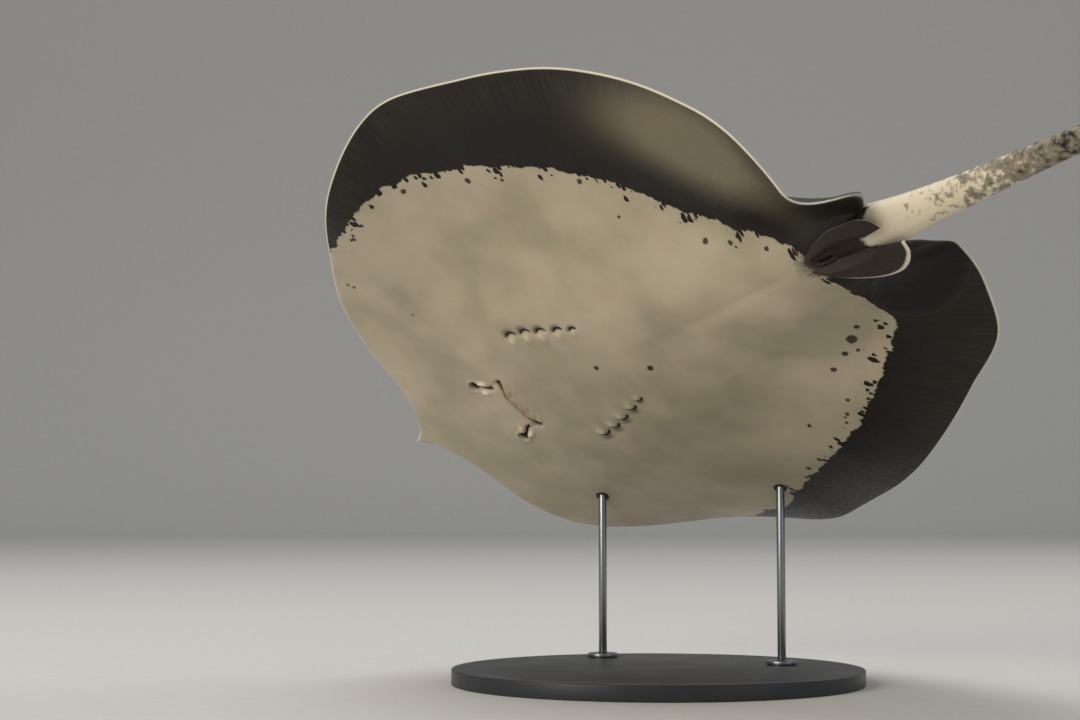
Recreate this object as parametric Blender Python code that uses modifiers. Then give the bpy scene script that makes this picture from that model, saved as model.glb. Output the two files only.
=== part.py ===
"""Giant freshwater whipray (Urogymnus polylepis): a still, life-size museum model on a display stand.

Metres, +Z up. The origin is the middle of the stand's underside, and a viewer stands on the -Y side.
The animal is shaped flat and level first, in its own axes: aft from the root of the snout's knob, side to
its right, and up out of its back. swim() then bends it as it beats its fins, and hang() sets it in the room.
"""

import math

import bmesh
import bpy
import numpy as np
from mathutils import Euler, Vector

# The animal
DISC = 0.96  # length of the disc, which the other sizes of the animal follow
BODY_END = 0.930 * DISC  # where the back ends and the tail starts
SNOUT_ROUND, SNOUT_ROWS = 0.0125, 0.008  # how far the knob's middle stands forward, and how soon that fades
EDGE = 0.0012  # half the thickness of a fin at its margin
CUT = 0.0004  # thin cut between neighbouring parts

# Half the outline of the disc in disc lengths, (aft, side): from the knob of the snout round the fin
OUTLINE = [
    (-0.010, 0.003), (0.004, 0.011), (0.036, 0.046), (0.058, 0.100), (0.072, 0.180), (0.104, 0.262),
    (0.200, 0.358), (0.320, 0.447), (0.450, 0.490), (0.600, 0.450), (0.750, 0.377), (0.870, 0.302),
    (0.960, 0.236), (0.982, 0.176), (0.984, 0.122), (0.988, 0.084), (0.979, 0.055), (0.956, 0.034),
]  # fmt: skip

# Height of the back and depth of the belly along the middle, in disc lengths: (aft, size)
BACK = [
    (0.00, 0.006), (0.06, 0.015), (0.14, 0.027), (0.22, 0.040), (0.30, 0.052), (0.38, 0.058),
    (0.50, 0.059), (0.62, 0.053), (0.74, 0.043), (0.85, 0.033), (0.93, 0.026),
]  # fmt: skip
BELLY = [
    (0.00, 0.005), (0.06, 0.010), (0.14, 0.015), (0.22, 0.020), (0.30, 0.027), (0.38, 0.035),
    (0.50, 0.043), (0.62, 0.045), (0.74, 0.040), (0.85, 0.032), (0.93, 0.0265),
]  # fmt: skip
FIN_SHARE = 0.34  # part of that height which runs out evenly to the margin
BACK_REACH, BACK_ROUND = 0.130 * DISC, 2.2  # how far the trunk spreads to each side, and how squarely
BELLY_REACH, BELLY_ROUND = 0.165 * DISC, 3.0
TRUNK_TAPER = 0.68  # how much narrower the trunk is where the tail starts
NECK_SIDE = 0.124 * DISC  # half the width of the head and trunk between the fins
HEAD_END = 0.36  # share of the back that belongs to the head

# Eyes and spiracles, on the back of the head
EYE_AFT, EYE_SIDE, EYE_RADIUS = 0.272 * DISC, 0.078 * DISC, 0.0100
BROW_HEIGHT, BROW_REACH = 0.0085, 0.026
SPIRACLE_AFT, SPIRACLE_SIDE = 0.314 * DISC, 0.086 * DISC
SPIRACLE_LENGTH, SPIRACLE_WIDTH, SPIRACLE_DEPTH = 0.032, 0.020, 0.012

# Swimming: upward curl of each fin, in radians per disc length of span, from the snout to the rear
HINGE_SIDE = 0.100 * DISC
CURLS = {-1: (0.31, -0.77, -0.03, 0.32, 0.84), 1: (1.57, 2.06, 1.25, 0.79, 0.61)}
REAR_LIFTS = (-0.134 * DISC, 0.058 * DISC)
REAR_START, REAR_LENGTH = 0.68 * DISC, 0.30 * DISC
REAR_INNER, REAR_SPREAD = 0.038 * DISC, 0.128 * DISC
LOBE_LIFTS = (-0.013 * DISC, 0.041 * DISC)  # further lift of each fin's inner rear corner
LOBE_START, LOBE_LENGTH, LOBE_SIDE, LOBE_WIDE = 0.88 * DISC, 0.10 * DISC, 0.105 * DISC, 0.055 * DISC
LOBE_INNER, LOBE_EASE = 0.037 * DISC, 0.020 * DISC
ARCH_AFT, ARCH_SQUARE, ARCH_CUBE = 0.45, 0.02, -0.26

# Pelvic fins, small lobes under the root of the tail: outline in disc lengths
PELVIC_ROOT = [(0.832, 0.003), (0.895, 0.011), (0.945, 0.009)]
PELVIC_MARGIN = [
    (0.834, 0.005), (0.858, 0.020), (0.905, 0.042), (0.945, 0.051), (0.976, 0.047), (0.998, 0.033), (1.002, 0.015),
]  # fmt: skip
PELVIC_SHARES = {-1: 0.72, 1: 1.0}  # how far each is spread: the left one is drawn in
PELVIC_THICKNESS, PELVIC_EDGE = 0.0060, 0.0024
PELVIC_RISE = 0.05  # share of the belly's depth that the margin lies higher than the root

# Tail, thick at its root and whip-like beyond the sting
TAIL_LENGTH = 1.75 * DISC
TAIL_PARTS = 4
TAIL_WHIP, TAIL_TIP = 0.0135 * DISC, 0.0015
TAIL_TAPER = 0.18 * DISC
TAIL_TURN, TAIL_SINK = math.radians(26), math.radians(-24)
STING_AFT = 0.40 * DISC
STING_LENGTH, STING_WIDTH, STING_THICKNESS = 0.110, 0.0080, 0.0036

# Stand
BASE_LENGTH, BASE_DEPTH, BASE_THICKNESS, BASE_EDGE = 0.58, 0.48, 0.022, 0.004
ROD_RADIUS, ROD_SOCKET = 0.006, 0.005
FLANGE_RADIUS, FLANGE_THICKNESS = 0.022, 0.006
ROD_PLACES = {"front": (0.26, 0.68), "rear": (0.50, 0.72)}

# How the animal hangs over the stand: rolled about its length, nose down, and turned from the viewer
ROLL, PITCH, HEADING = math.radians(43.5), math.radians(-17.3), math.radians(43.7)
SNOUT = Vector((-0.355, 0.228, 0.333))


def smooth_line(points, places):
    """Points of a smooth line through these points, at these shares of its length."""
    points = np.array(points, float)
    lengths = np.hypot(*np.diff(points, axis=0).T)
    knots = np.concatenate([[0], np.cumsum(lengths)])
    slopes = np.gradient(points, knots, axis=0)
    at = np.asarray(places, float) * knots[-1]
    left = np.clip(np.searchsorted(knots, at, side="right") - 1, 0, len(knots) - 2)
    width = (knots[left + 1] - knots[left])[..., None]
    step = (at - knots[left])[..., None] / width
    start, end = points[left], points[left + 1]
    rise, fall = slopes[left] * width, slopes[left + 1] * width
    return (
        start * (1 + 2 * step) * (1 - step) ** 2
        + rise * step * (1 - step) ** 2
        + end * step**2 * (3 - 2 * step)
        - fall * step**2 * (1 - step)
    )


def fade(value):
    """0 up to 1 with no corner at either end."""
    value = np.clip(value, 0, 1)
    return value * value * (3 - 2 * value)


def outline_at(row):
    """Margin (aft, side) at this share of the way round the fin, from the snout to the tail."""
    margin = smooth_line(OUTLINE, row) * DISC
    return margin[..., 0], margin[..., 1]


def flat_point(row, reach):
    """Place on the flat disc: a row leaves the spine sideways and curves out to the margin, as fin rays do."""
    margin_aft, margin_side = outline_at(row)
    spine_aft = BODY_END * row - SNOUT_ROUND * np.exp(-row / SNOUT_ROWS)
    return spine_aft + reach**2 * (margin_aft - spine_aft), reach * margin_side


def neck_reach(row):
    """Share of a row, from the spine, which belongs to the head or trunk and not to the fin."""
    margin_side = outline_at(row)[1]
    return NECK_SIDE * (1 - np.exp(-margin_side / (1.2 * NECK_SIDE))) / margin_side


def thickness(row, reach, heights):
    """Distance from the fin's middle surface to its upper or lower skin."""
    row, reach = np.broadcast_arrays(row, reach)
    aft, side = flat_point(row, reach)
    middle = np.interp(BODY_END * row / DISC, *np.transpose(heights)) * DISC - EDGE
    evenly = (1 - reach) ** 1.15
    spread, power = (BACK_REACH, BACK_ROUND) if heights is BACK else (BELLY_REACH, BELLY_ROUND)
    spread = spread * (1 - TRUNK_TAPER * fade((row - 0.5) / 0.5))
    round_trunk = np.exp(-((side / spread) ** power)) * (1 - reach**4)
    fin = FIN_SHARE * evenly + (1 - FIN_SHARE) * round_trunk
    tail = np.sqrt(np.clip(1 - reach**2, 0, 1))
    share = fade((row - 0.95) / 0.05)
    size = EDGE + middle * ((1 - share) * fin + share * tail)
    if heights is BACK:
        size = size + BROW_HEIGHT * np.exp(-((aft - EYE_AFT) ** 2 + (side - EYE_SIDE) ** 2) / BROW_REACH**2)
    return size


def swim(aft, side, lobes=1):
    """Where the beat of the fins takes a place of the disc's middle surface."""
    hand = np.where(side < 0, -1, 1)
    across = np.abs(side)
    knots = np.linspace(0, DISC, len(CURLS[-1]))
    cell = np.clip(np.searchsorted(knots, aft, side="right") - 1, 0, len(knots) - 2)
    step = fade((aft - knots[cell]) / knots[1])
    left, right = (np.take(CURLS[key], cell) * (1 - step) + np.take(CURLS[key], cell + 1) * step for key in (-1, 1))
    curl = np.where(side < 0, left, right) / DISC
    span = np.maximum(across - HINGE_SIDE, 0)
    turn = curl * span
    outward = np.minimum(across, HINGE_SIDE) + span * np.sinc(turn / math.pi)
    upward = span * np.sinc(turn / math.tau) * np.sin(turn / 2)
    rear = np.maximum((aft - REAR_START) / REAR_LENGTH, 0) ** 2
    upward = upward + np.where(side < 0, *REAR_LIFTS) * rear * fade((across - REAR_INNER) / REAR_SPREAD)
    lobe = fade((aft - LOBE_START) / LOBE_LENGTH) * np.exp(-(((across - LOBE_SIDE) / LOBE_WIDE) ** 2))
    lobe = lobe * fade((across - LOBE_INNER) / LOBE_EASE)
    upward = upward + lobes * np.where(side < 0, *LOBE_LIFTS) * lobe
    station = aft / DISC - ARCH_AFT
    upward = upward + DISC * (ARCH_SQUARE * station**2 + ARCH_CUBE * station**3)
    return np.stack([aft, hand * outward, upward], -1)


def swum(aft, side, height, lobes=1):
    """A place at this height over or under the middle surface, after the bend."""
    small = 0.002
    nudge = np.where(side < 0, -small, small)
    middle = swim(aft, side, lobes)
    along = swim(aft + small, side, lobes) - middle
    across = (swim(aft, side + nudge, lobes) - middle) * np.sign(nudge)[..., None]
    normal = np.cross(along, across)
    normal /= np.linalg.norm(normal, axis=-1, keepdims=True)
    return middle + normal * np.asarray(height)[..., None]


HANG = Euler((PITCH, ROLL, HEADING), "YXZ").to_matrix()


def hang(points):
    """The animal's own axes to the room's."""
    aft, side, up = np.moveaxis(np.asarray(points, float), -1, 0)
    turned = np.stack([side, -aft, up], -1) @ np.array(HANG).T
    return turned + np.array(SNOUT)


def section(row, reach):
    """Upper and lower skin along a row, at these shares of the half width, negative to the left."""
    aft, side = flat_point(row, np.abs(reach))
    side = np.where(reach < 0, -side, side)
    heights = (thickness(row, np.abs(reach), BACK), -thickness(row, np.abs(reach), BELLY))
    return [hang(swum(aft, side, height)) for height in heights]


def tail_path():
    """Points down the middle of the tail, in the animal's axes, at even steps from BODY_END to its tip."""
    steps = np.linspace(0, 1, 401)
    slope = math.atan(2 * ARCH_SQUARE * (0.93 - ARCH_AFT) + 3 * ARCH_CUBE * (0.93 - ARCH_AFT) ** 2)
    sink = slope * np.exp(-steps * TAIL_LENGTH / TAIL_TAPER) + TAIL_SINK * fade((steps + 0.1) / 1.1)
    turn = TAIL_TURN * fade((steps - 0.15) / 0.65)
    run = np.stack([np.cos(sink) * np.cos(turn), np.cos(sink) * np.sin(turn), np.sin(sink)], -1)
    start = swim(np.array(BODY_END), np.array(0.0))
    middles = (run[1:] + run[:-1]) / 2 * TAIL_LENGTH / 400
    return np.concatenate([[start], start + np.cumsum(middles, axis=0)]), run


TAIL_MIDDLE, TAIL_RUN = tail_path()


def tail_width(down):
    """Half the width of the tail at this distance down it."""
    root = OUTLINE[-1][1] * DISC - TAIL_WHIP - TAIL_TIP
    return TAIL_TIP + TAIL_WHIP * (1 - down / TAIL_LENGTH) + root * np.exp(-down / TAIL_TAPER)


def tail_frame(down):
    """Middle, run, right and up of the tail at this distance down it."""
    place = down / TAIL_LENGTH * (len(TAIL_MIDDLE) - 1)
    middle, run = (
        np.array([np.interp(place, range(len(TAIL_MIDDLE)), track[:, axis]) for axis in range(3)])
        for track in (TAIL_MIDDLE, TAIL_RUN)
    )
    right = np.cross(run, (0, 0, -1))
    right /= np.linalg.norm(right)
    return middle, run, right, np.cross(right, -run)


def tail_section(down, reach):
    """Upper and lower skin round the tail; the first section is the slanted end of the disc."""
    middle, run, right, up = tail_frame(down)
    width = tail_width(down)
    slant = (OUTLINE[-1][0] * DISC - BODY_END) * max(1 - down / (0.1 * DISC), 0)
    rows = []
    for heights, turn in ((BACK, 1), (BELLY, -1)):
        height = heights[-1][1] / OUTLINE[-1][1] * width - EDGE
        height = turn * (min(EDGE, width / 3) + height * np.sqrt(1 - reach**2))
        place = middle + np.outer(reach * width, right) + np.outer(height, up) + np.outer(reach**2 * slant, run)
        rows.append(hang(place))
    return rows


# Objects
for leftover in list(bpy.data.objects):
    bpy.data.objects.remove(leftover)
model = bpy.data.collections.new("freshwater_stingray")
cutters = bpy.data.collections.new("cutters")
cutters.hide_render = True
for group in (model, cutters):
    bpy.context.scene.collection.children.link(group)


def finish(name, colour, roughness, metallic=0.0):
    material = bpy.data.materials.new(name)
    material.use_nodes = True
    shader = material.node_tree.nodes["Principled BSDF"]
    shader.inputs["Base Color"].default_value = (*colour, 1)
    shader.inputs["Roughness"].default_value = roughness
    shader.inputs["Metallic"].default_value = metallic
    return material


def add(name, mesh, material, group=model):
    piece = bpy.data.objects.new(name, mesh)
    group.objects.link(piece)
    if material:
        mesh.materials.append(material)
    return piece


def loft(name, sections, material):
    """A closed solid through sections, each an upper and a lower row of as many points."""
    count = len(sections[0][0])
    points = [point for upper, lower in sections for point in (*upper, *lower)]
    ring = 2 * count
    loop = [*range(count), *range(ring - 1, count - 1, -1)]
    faces = []
    for start in range(0, (len(sections) - 1) * ring, ring):
        for here, there in zip(loop, loop[1:]):
            faces.append((start + here, start + there, start + ring + there, start + ring + here))
        # the same diagonal as on the neighbour's wall, so that the cut between them stays even
        faces.append((start, start + ring, start + ring + count, start + count))
    for start in (0, (len(sections) - 1) * ring):
        for column in range(start, start + count - 1):
            faces.append((column, column + 1, column + count + 1, column + count))
    mesh = bpy.data.meshes.new(name)
    mesh.from_pydata(points, [], faces)
    shape = bmesh.new()
    shape.from_mesh(mesh)
    bmesh.ops.recalc_face_normals(shape, faces=shape.faces)
    shape.to_mesh(mesh)
    shape.free()
    return add(name, mesh, material)


def cut(piece, cutter):
    boolean = piece.modifiers.new(f"cut_{cutter.name}", "BOOLEAN")
    boolean.operation = "DIFFERENCE"
    boolean.solver = "EXACT"
    boolean.object = cutter
    cutter.display_type = "WIRE"
    cutter.hide_render = True


def round_bar(name, radius, bottom, top, material, group=model, sides=24):
    """An upright bar between two points, of which the upper only gives the height."""
    shape = bmesh.new()
    bmesh.ops.create_cone(
        shape, cap_ends=True, segments=sides, radius1=radius, radius2=radius, depth=top - bottom.z
    )
    mesh = bpy.data.meshes.new(name)
    shape.to_mesh(mesh)
    shape.free()
    bar = add(name, mesh, material, group)
    bar.location = (bottom.x, bottom.y, (bottom.z + top) / 2)
    return bar


def ball(name, radius, centre, material, group=model, around=12, along=8):
    shape = bmesh.new()
    bmesh.ops.create_uvsphere(shape, u_segments=around, v_segments=along, radius=radius)
    mesh = bpy.data.meshes.new(name)
    shape.to_mesh(mesh)
    shape.free()
    globe = add(name, mesh, material, group)
    globe.location = centre
    return globe


# Head, trunk and pectoral fins, which share one skin over the whole disc
half_cut = CUT / 2
row_cut = half_cut / BODY_END
tip_rows = [0.0, 0.006, 0.014]
head_rows = [*tip_rows, *np.linspace(0.025, HEAD_END, 17)]
trunk_rows = [*(1 - (1 - HEAD_END) * np.linspace(1, 0, 26) ** 1.25)]


def middle_part(name, rows, columns, material):
    sections = []
    for row in rows:
        half = neck_reach(row) - half_cut / outline_at(row)[1]
        sections.append(section(row, np.linspace(-half, half, columns)))
    return loft(name, sections, material)


head_skin = finish("head_skin", (0.50, 0.46, 0.37), 0.35)
head = middle_part("head", [*head_rows[:-1], HEAD_END - row_cut], 17, head_skin)
trunk_skin = finish("trunk_skin", (0.52, 0.47, 0.38), 0.35)
middle_part("trunk", [HEAD_END + row_cut, *trunk_rows[1:-1], 1 - row_cut], 11, trunk_skin)

fins = {}
for hand, side_name in ((-1, "left"), (1, "right")):
    sections = []
    for row in [*head_rows[2:], *trunk_rows[1:-1], 1 - row_cut]:
        inner = neck_reach(row) + half_cut / outline_at(row)[1]
        reach = np.linspace(inner, 1, 9)
        sections.append(section(row, hand * reach))
    colour = finish(f"pectoral_{side_name}_skin", (0.33, 0.30, 0.25), 0.35)
    fins[hand] = loft(f"pectoral_fin_{side_name}", sections, colour)

# Pelvic fins, two small lobes that cup the vent under the root of the tail
for hand, side_name in ((-1, "left"), (1, "right")):
    sections = []
    for place in np.linspace(0, 1, 12):
        root = smooth_line(PELVIC_ROOT, place) * DISC
        margin = root + (smooth_line(PELVIC_MARGIN, place) * DISC - root) * PELVIC_SHARES[hand]
        out = np.linspace(0, 1, 6)
        aft, side = (np.outer(1 - out, root) + np.outer(out, margin)).T
        half = (PELVIC_THICKNESS * (1 - out) + PELVIC_EDGE * out) / 2
        belly = np.interp(aft / DISC, *np.transpose(BELLY)) * DISC
        depth = belly * (1 - PELVIC_RISE * out**2) + CUT + PELVIC_THICKNESS / 2
        sections.append([hang(swum(aft, hand * side, height, 0)) for height in (half - depth, -half - depth)])
    colour = finish(f"pelvic_{side_name}_skin", (0.16, 0.13, 0.10), 0.4)
    loft(f"pelvic_fin_{side_name}", sections, colour)

# Tail, parted into lengths
tail_ends = np.linspace(0, 1, TAIL_PARTS + 1) ** 1.2 * TAIL_LENGTH
tail_ends[0] = CUT
for number in range(TAIL_PARTS):
    down = np.linspace(tail_ends[number] + half_cut, tail_ends[number + 1] - half_cut, 9)
    sections = [tail_section(distance, np.linspace(-1, 1, 8)) for distance in down]
    pale = 0.30 * 0.45**number
    loft(f"tail_{number + 1}", sections, finish(f"tail_{number + 1}_skin", (pale, pale * 0.9, pale * 0.8), 0.45))

# Sting, a flat bony blade that lies back along the top of the tail
sections = []
for share in np.linspace(0, 1, 13):
    middle, run, right, up = tail_frame(STING_AFT + share * STING_LENGTH)
    lie = BACK[-1][1] / OUTLINE[-1][1] * tail_width(STING_AFT) + CUT + STING_THICKNESS / 2
    across = np.linspace(-1, 1, 5)
    wide = STING_WIDTH / 2 * math.sqrt(1 - 0.97 * share**1.6)
    round_side = np.sqrt(1 - 0.9 * across**2) * STING_THICKNESS / 2 * wide / (STING_WIDTH / 2)
    line = middle + np.outer(across * wide, right)
    sections.append([hang(line + np.outer(lie + turn * round_side, up)) for turn in (1, -1)])
loft("sting", sections, finish("sting_bone", (0.55, 0.46, 0.32), 0.5))

# Eyes, small and far apart on the back of the head
eye_finish = finish("eye", (0.02, 0.018, 0.015), 0.08)
eye_row = EYE_AFT / BODY_END
for hand, side_name in ((-1, "left"), (1, "right")):
    height = thickness(eye_row, EYE_SIDE / outline_at(eye_row)[1], BACK) - 0.45 * EYE_RADIUS
    centre = Vector(hang(swum(np.array(EYE_AFT), np.array(hand * EYE_SIDE), height)))
    ball(f"eye_{side_name}", EYE_RADIUS, centre, eye_finish)
    cut(head, ball(f"socket_{side_name}", EYE_RADIUS + CUT, centre, None, cutters))
    height = thickness(SPIRACLE_AFT / BODY_END, SPIRACLE_SIDE / outline_at(SPIRACLE_AFT / BODY_END)[1], BACK)
    centre = Vector(hang(swum(np.array(SPIRACLE_AFT), np.array(hand * SPIRACLE_SIDE), height)))
    spiracle = ball(f"spiracle_{side_name}", 0.5, centre, None, cutters)
    spiracle.scale = (SPIRACLE_WIDTH, SPIRACLE_LENGTH, 2 * SPIRACLE_DEPTH)
    spiracle.rotation_euler = HANG.to_euler()
    cut(head, spiracle)

# Stand: a plain oval base, and two rods which end in sockets under the right fin
painted = finish("base_paint", (0.02, 0.02, 0.022), 0.5)
steel = finish("rod_steel", (0.56, 0.57, 0.58), 0.3, 1.0)
shape = bmesh.new()
bmesh.ops.create_cone(shape, cap_ends=True, segments=60, radius1=0.5, radius2=0.5, depth=BASE_THICKNESS)
bmesh.ops.scale(shape, vec=(BASE_LENGTH, BASE_DEPTH, 1), verts=shape.verts)
mesh = bpy.data.meshes.new("stand_base")
shape.to_mesh(mesh)
shape.free()
base = add("stand_base", mesh, painted)
base.location.z = BASE_THICKNESS / 2
edge = base.modifiers.new("edge", "BEVEL")
edge.width = BASE_EDGE
edge.segments = 2

for place_name, (row, reach) in ROD_PLACES.items():
    under = Vector(section(row, np.array([reach]))[1][0])
    foot = Vector((under.x, under.y, BASE_THICKNESS + CUT))
    round_bar(f"stand_rod_{place_name}", ROD_RADIUS, foot, under.z + ROD_SOCKET, steel)
    below = Vector((under.x, under.y, under.z - 0.03))
    socket = round_bar(f"socket_{place_name}", ROD_RADIUS + CUT, below, under.z + ROD_SOCKET + CUT, None, cutters)
    cut(fins[1], socket)
    profile = bpy.data.meshes.new(f"stand_flange_{place_name}")
    inner, outer, low = ROD_RADIUS + CUT, FLANGE_RADIUS, CUT
    corners = [(inner, 0, low), (outer, 0, low), (outer, 0, FLANGE_THICKNESS), (inner, 0, FLANGE_THICKNESS)]
    profile.from_pydata(corners, [(1, 0), (2, 1), (3, 2), (0, 3)], [])
    flange = add(f"stand_flange_{place_name}", profile, steel)
    flange.location = (under.x, under.y, BASE_THICKNESS)
    turned = flange.modifiers.new("turned", "SCREW")
    turned.steps = turned.render_steps = 24
    turned.use_merge_vertices = True
    turned.merge_threshold = 0.0001
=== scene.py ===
"""Giant freshwater whipray: a still, life-size museum model banking over an oval base on two steel rods.

Metres, +Z up. The animal is laid out flat and level first, in its own axes (aft from the snout, side to its
right, up out of its back), then bent as it beats its fins and hung in the room as the solids are.
"""

import math

import bpy
import numpy as np
from mathutils import Euler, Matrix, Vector


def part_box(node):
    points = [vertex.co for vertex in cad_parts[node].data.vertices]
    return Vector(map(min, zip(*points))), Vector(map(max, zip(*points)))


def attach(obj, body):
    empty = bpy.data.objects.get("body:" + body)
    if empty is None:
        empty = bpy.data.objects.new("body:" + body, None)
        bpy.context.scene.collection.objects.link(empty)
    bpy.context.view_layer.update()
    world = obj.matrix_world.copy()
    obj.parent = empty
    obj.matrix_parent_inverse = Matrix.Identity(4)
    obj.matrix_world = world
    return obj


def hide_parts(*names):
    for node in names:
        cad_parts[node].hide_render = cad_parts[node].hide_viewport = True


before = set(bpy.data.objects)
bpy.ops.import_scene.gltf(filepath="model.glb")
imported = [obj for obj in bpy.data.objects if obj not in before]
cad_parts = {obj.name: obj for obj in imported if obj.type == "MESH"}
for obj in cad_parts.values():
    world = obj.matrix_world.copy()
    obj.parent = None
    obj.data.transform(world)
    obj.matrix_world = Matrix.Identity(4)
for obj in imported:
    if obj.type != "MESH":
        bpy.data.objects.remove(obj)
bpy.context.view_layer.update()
bpy.ops.object.select_all(action="DESELECT")


# ---------------------------------------------------------------------------------------------------------
# Base board: an oval of fibreboard with a routed line near its edge, sprayed in satin charcoal lacquer and
# rubbed a little paler along its rounded edges. It lies on the floor and carries both rods.
# ---------------------------------------------------------------------------------------------------------
LACQUER, LACQUER_WORN = "#24262A", "#4C4E52"
PEEL_SIZE, CLOUDING_SIZE = 0.004, 1 / 14  # ripple of sprayed lacquer, drawn coarser than its real 1.5 mm
BASE_ROUND, ROUTED_IN, ROUTED_WIDE, ROUTED_DEEP = 0.0035, 0.016, 0.0025, 0.0012
LEVEL = 0.9  # a face whose normal stands this upright counts as level


def linear(code):
    """A hex sRGB colour as the linear values that a shader takes."""
    shares = [int(code[start : start + 2], 16) / 255 for start in (1, 3, 5)]
    return (*[s / 12.92 if s <= 0.04045 else ((s + 0.055) / 1.055) ** 2.4 for s in shares], 1.0)


def feed(node, feeds):
    """Sets a node's inputs, given by name or number, from values, hex colours or other nodes' outputs."""
    for socket, value in feeds.items():
        if isinstance(value, bpy.types.NodeSocket):
            node.id_data.links.new(value, node.inputs[socket])
        else:
            node.inputs[socket].default_value = linear(value) if isinstance(value, str) else value


def add_node(material, kind, feeds=(), out=0, stops=(), **settings):
    """Adds a node with its settings, feeds the inputs it shows, in order or by name, and gives an output."""
    node = material.node_tree.nodes.new(f"ShaderNode{kind}")
    for setting, value in settings.items():
        setattr(node, setting, value)
    if not isinstance(feeds, dict):
        shown = [number for number, socket in enumerate(node.inputs) if socket.enabled]
        feeds = dict(zip(shown, feeds))
    feed(node, feeds)
    for number, (position, code) in enumerate(stops):
        ramp = node.color_ramp.elements
        stop = ramp[number] if number < 2 else ramp.new(position)
        stop.position = position
        stop.color = linear(code)
    return node.outputs[out] if isinstance(out, str) else [port for port in node.outputs if port.enabled][out]


def new_material(name, roughness, metallic=0.0):
    """A material with its shader, of which the roughness and metallic values are set on the sockets."""
    material = bpy.data.materials.new(name)
    material.use_nodes = True
    shader = material.node_tree.nodes["Principled BSDF"]
    shader.inputs["Roughness"].default_value = roughness
    shader.inputs["Metallic"].default_value = metallic
    return material, shader


def apply_place(piece):
    """Selects this piece alone and moves its place, turn and scale into its mesh."""
    bpy.ops.object.select_all(action="DESELECT")
    piece.select_set(True)
    bpy.context.view_layer.objects.active = piece
    bpy.ops.object.transform_apply(location=True, rotation=True, scale=True)


def settle(piece, name, material, smooth_angle=35):
    """Moves a finished piece's place into its mesh, names it, and gives it its material and shading."""
    apply_place(piece)
    bpy.ops.object.shade_smooth_by_angle(angle=math.radians(smooth_angle))
    piece.name = piece.data.name = name
    piece.data.materials.clear()
    piece.data.materials.append(material)
    return piece


def choose_faces(piece, wanted):
    """Selects the faces of a mesh for which wanted(face) holds, and opens it in edit mode."""
    for element in (*piece.data.vertices, *piece.data.edges):
        element.select = False
    for face in piece.data.polygons:
        face.select = wanted(face)
    bpy.ops.object.mode_set(mode="EDIT")
    bpy.ops.mesh.select_mode(type="FACE")


def bevel_edges(piece, width, segments, angle=50):
    """Rounds the edges at which the faces of the active piece meet at more than this angle."""
    bevel = piece.modifiers.new("bevel", "BEVEL")
    bevel.width = width
    bevel.segments = segments
    bevel.limit_method = "ANGLE"
    bevel.angle_limit = math.radians(angle)
    bpy.ops.object.modifier_apply(modifier=bevel.name)


# satin lacquer: charcoal with a faint ripple, and paler where hands and cloths have rubbed its edges
lacquer, shader = new_material("satin_charcoal_lacquer", 0.38)
place = add_node(lacquer, "TexCoord", out="Object")
peel = add_node(lacquer, "TexNoise", (place, 1 / PEEL_SIZE, 2.0))
clouding = add_node(lacquer, "TexNoise", (place, 1 / CLOUDING_SIZE, 5.0))
rubbed = add_node(lacquer, "NewGeometry", out="Pointiness")
rubbed = add_node(lacquer, "MapRange", (rubbed, 0.53, 0.62))
rubbed = add_node(lacquer, "Math", (rubbed, clouding), operation="MULTIPLY")
feed(shader, {
    "Base Color": add_node(lacquer, "Mix", (rubbed, LACQUER, LACQUER_WORN), data_type="RGBA"),
    "Roughness": add_node(lacquer, "MapRange", (clouding, 0.3, 0.7, 0.33, 0.46)),
    "Normal": add_node(lacquer, "Bump", {"Height": peel, "Strength": 0.12, "Distance": 0.0004}),
})

low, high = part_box("stand_base")
bpy.ops.mesh.primitive_cylinder_add(vertices=160, radius=0.5, depth=high.z - low.z, location=(low + high) / 2)
board = bpy.context.object
board.scale = (high.x - low.x, high.y - low.y, 1)
apply_place(board)
choose_faces(board, lambda face: face.normal.z > LEVEL)
bpy.ops.mesh.inset(thickness=ROUTED_IN)
for drop in (-ROUTED_DEEP, ROUTED_DEEP):
    bpy.ops.mesh.inset(thickness=ROUTED_WIDE / 2)
    bpy.ops.transform.translate(value=(0, 0, drop))
bpy.ops.object.mode_set(mode="OBJECT")
bevel_edges(board, BASE_ROUND, segments=4, angle=60)
settle(board, "stand_base_board", lacquer)
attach(board, "root")
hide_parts("stand_base")


# ---------------------------------------------------------------------------------------------------------
# Rods and flanges: 12 mm stainless bar, brushed along its length, standing in turned steel flanges that
# three socket screws hold down on the base. A black rubber ring seals each rod's entry into the right fin.
# ---------------------------------------------------------------------------------------------------------
STEEL, STEEL_LINES = "#9A9C9E", "#6E7173"
GRAIN_ACROSS, GRAIN_ALONG = 0.0008, 0.05  # brushed lines, drawn coarser than their real 0.1 mm
ROD_CHAMFER, FLANGE_CHAMFER, BORE_GAP, BORE_NEAR = 0.0008, 0.0010, 0.0004, 0.001
SCREWS, SCREW_RADIUS, SCREW_HIGH, SCREW_CIRCLE, SCREW_CHAMFER = 3, 0.0032, 0.0014, 0.0145, 0.0003
SOCKET_RADIUS, SOCKET_DEEP = 0.0016, 0.7 * SCREW_HIGH
RUBBER, RUBBER_BLOOM = "#1B1B1C", "#343434"
BLOOM_SIZE = 1 / 300
RING_THICK, RING_FLAT = 0.0022, 0.8

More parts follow.
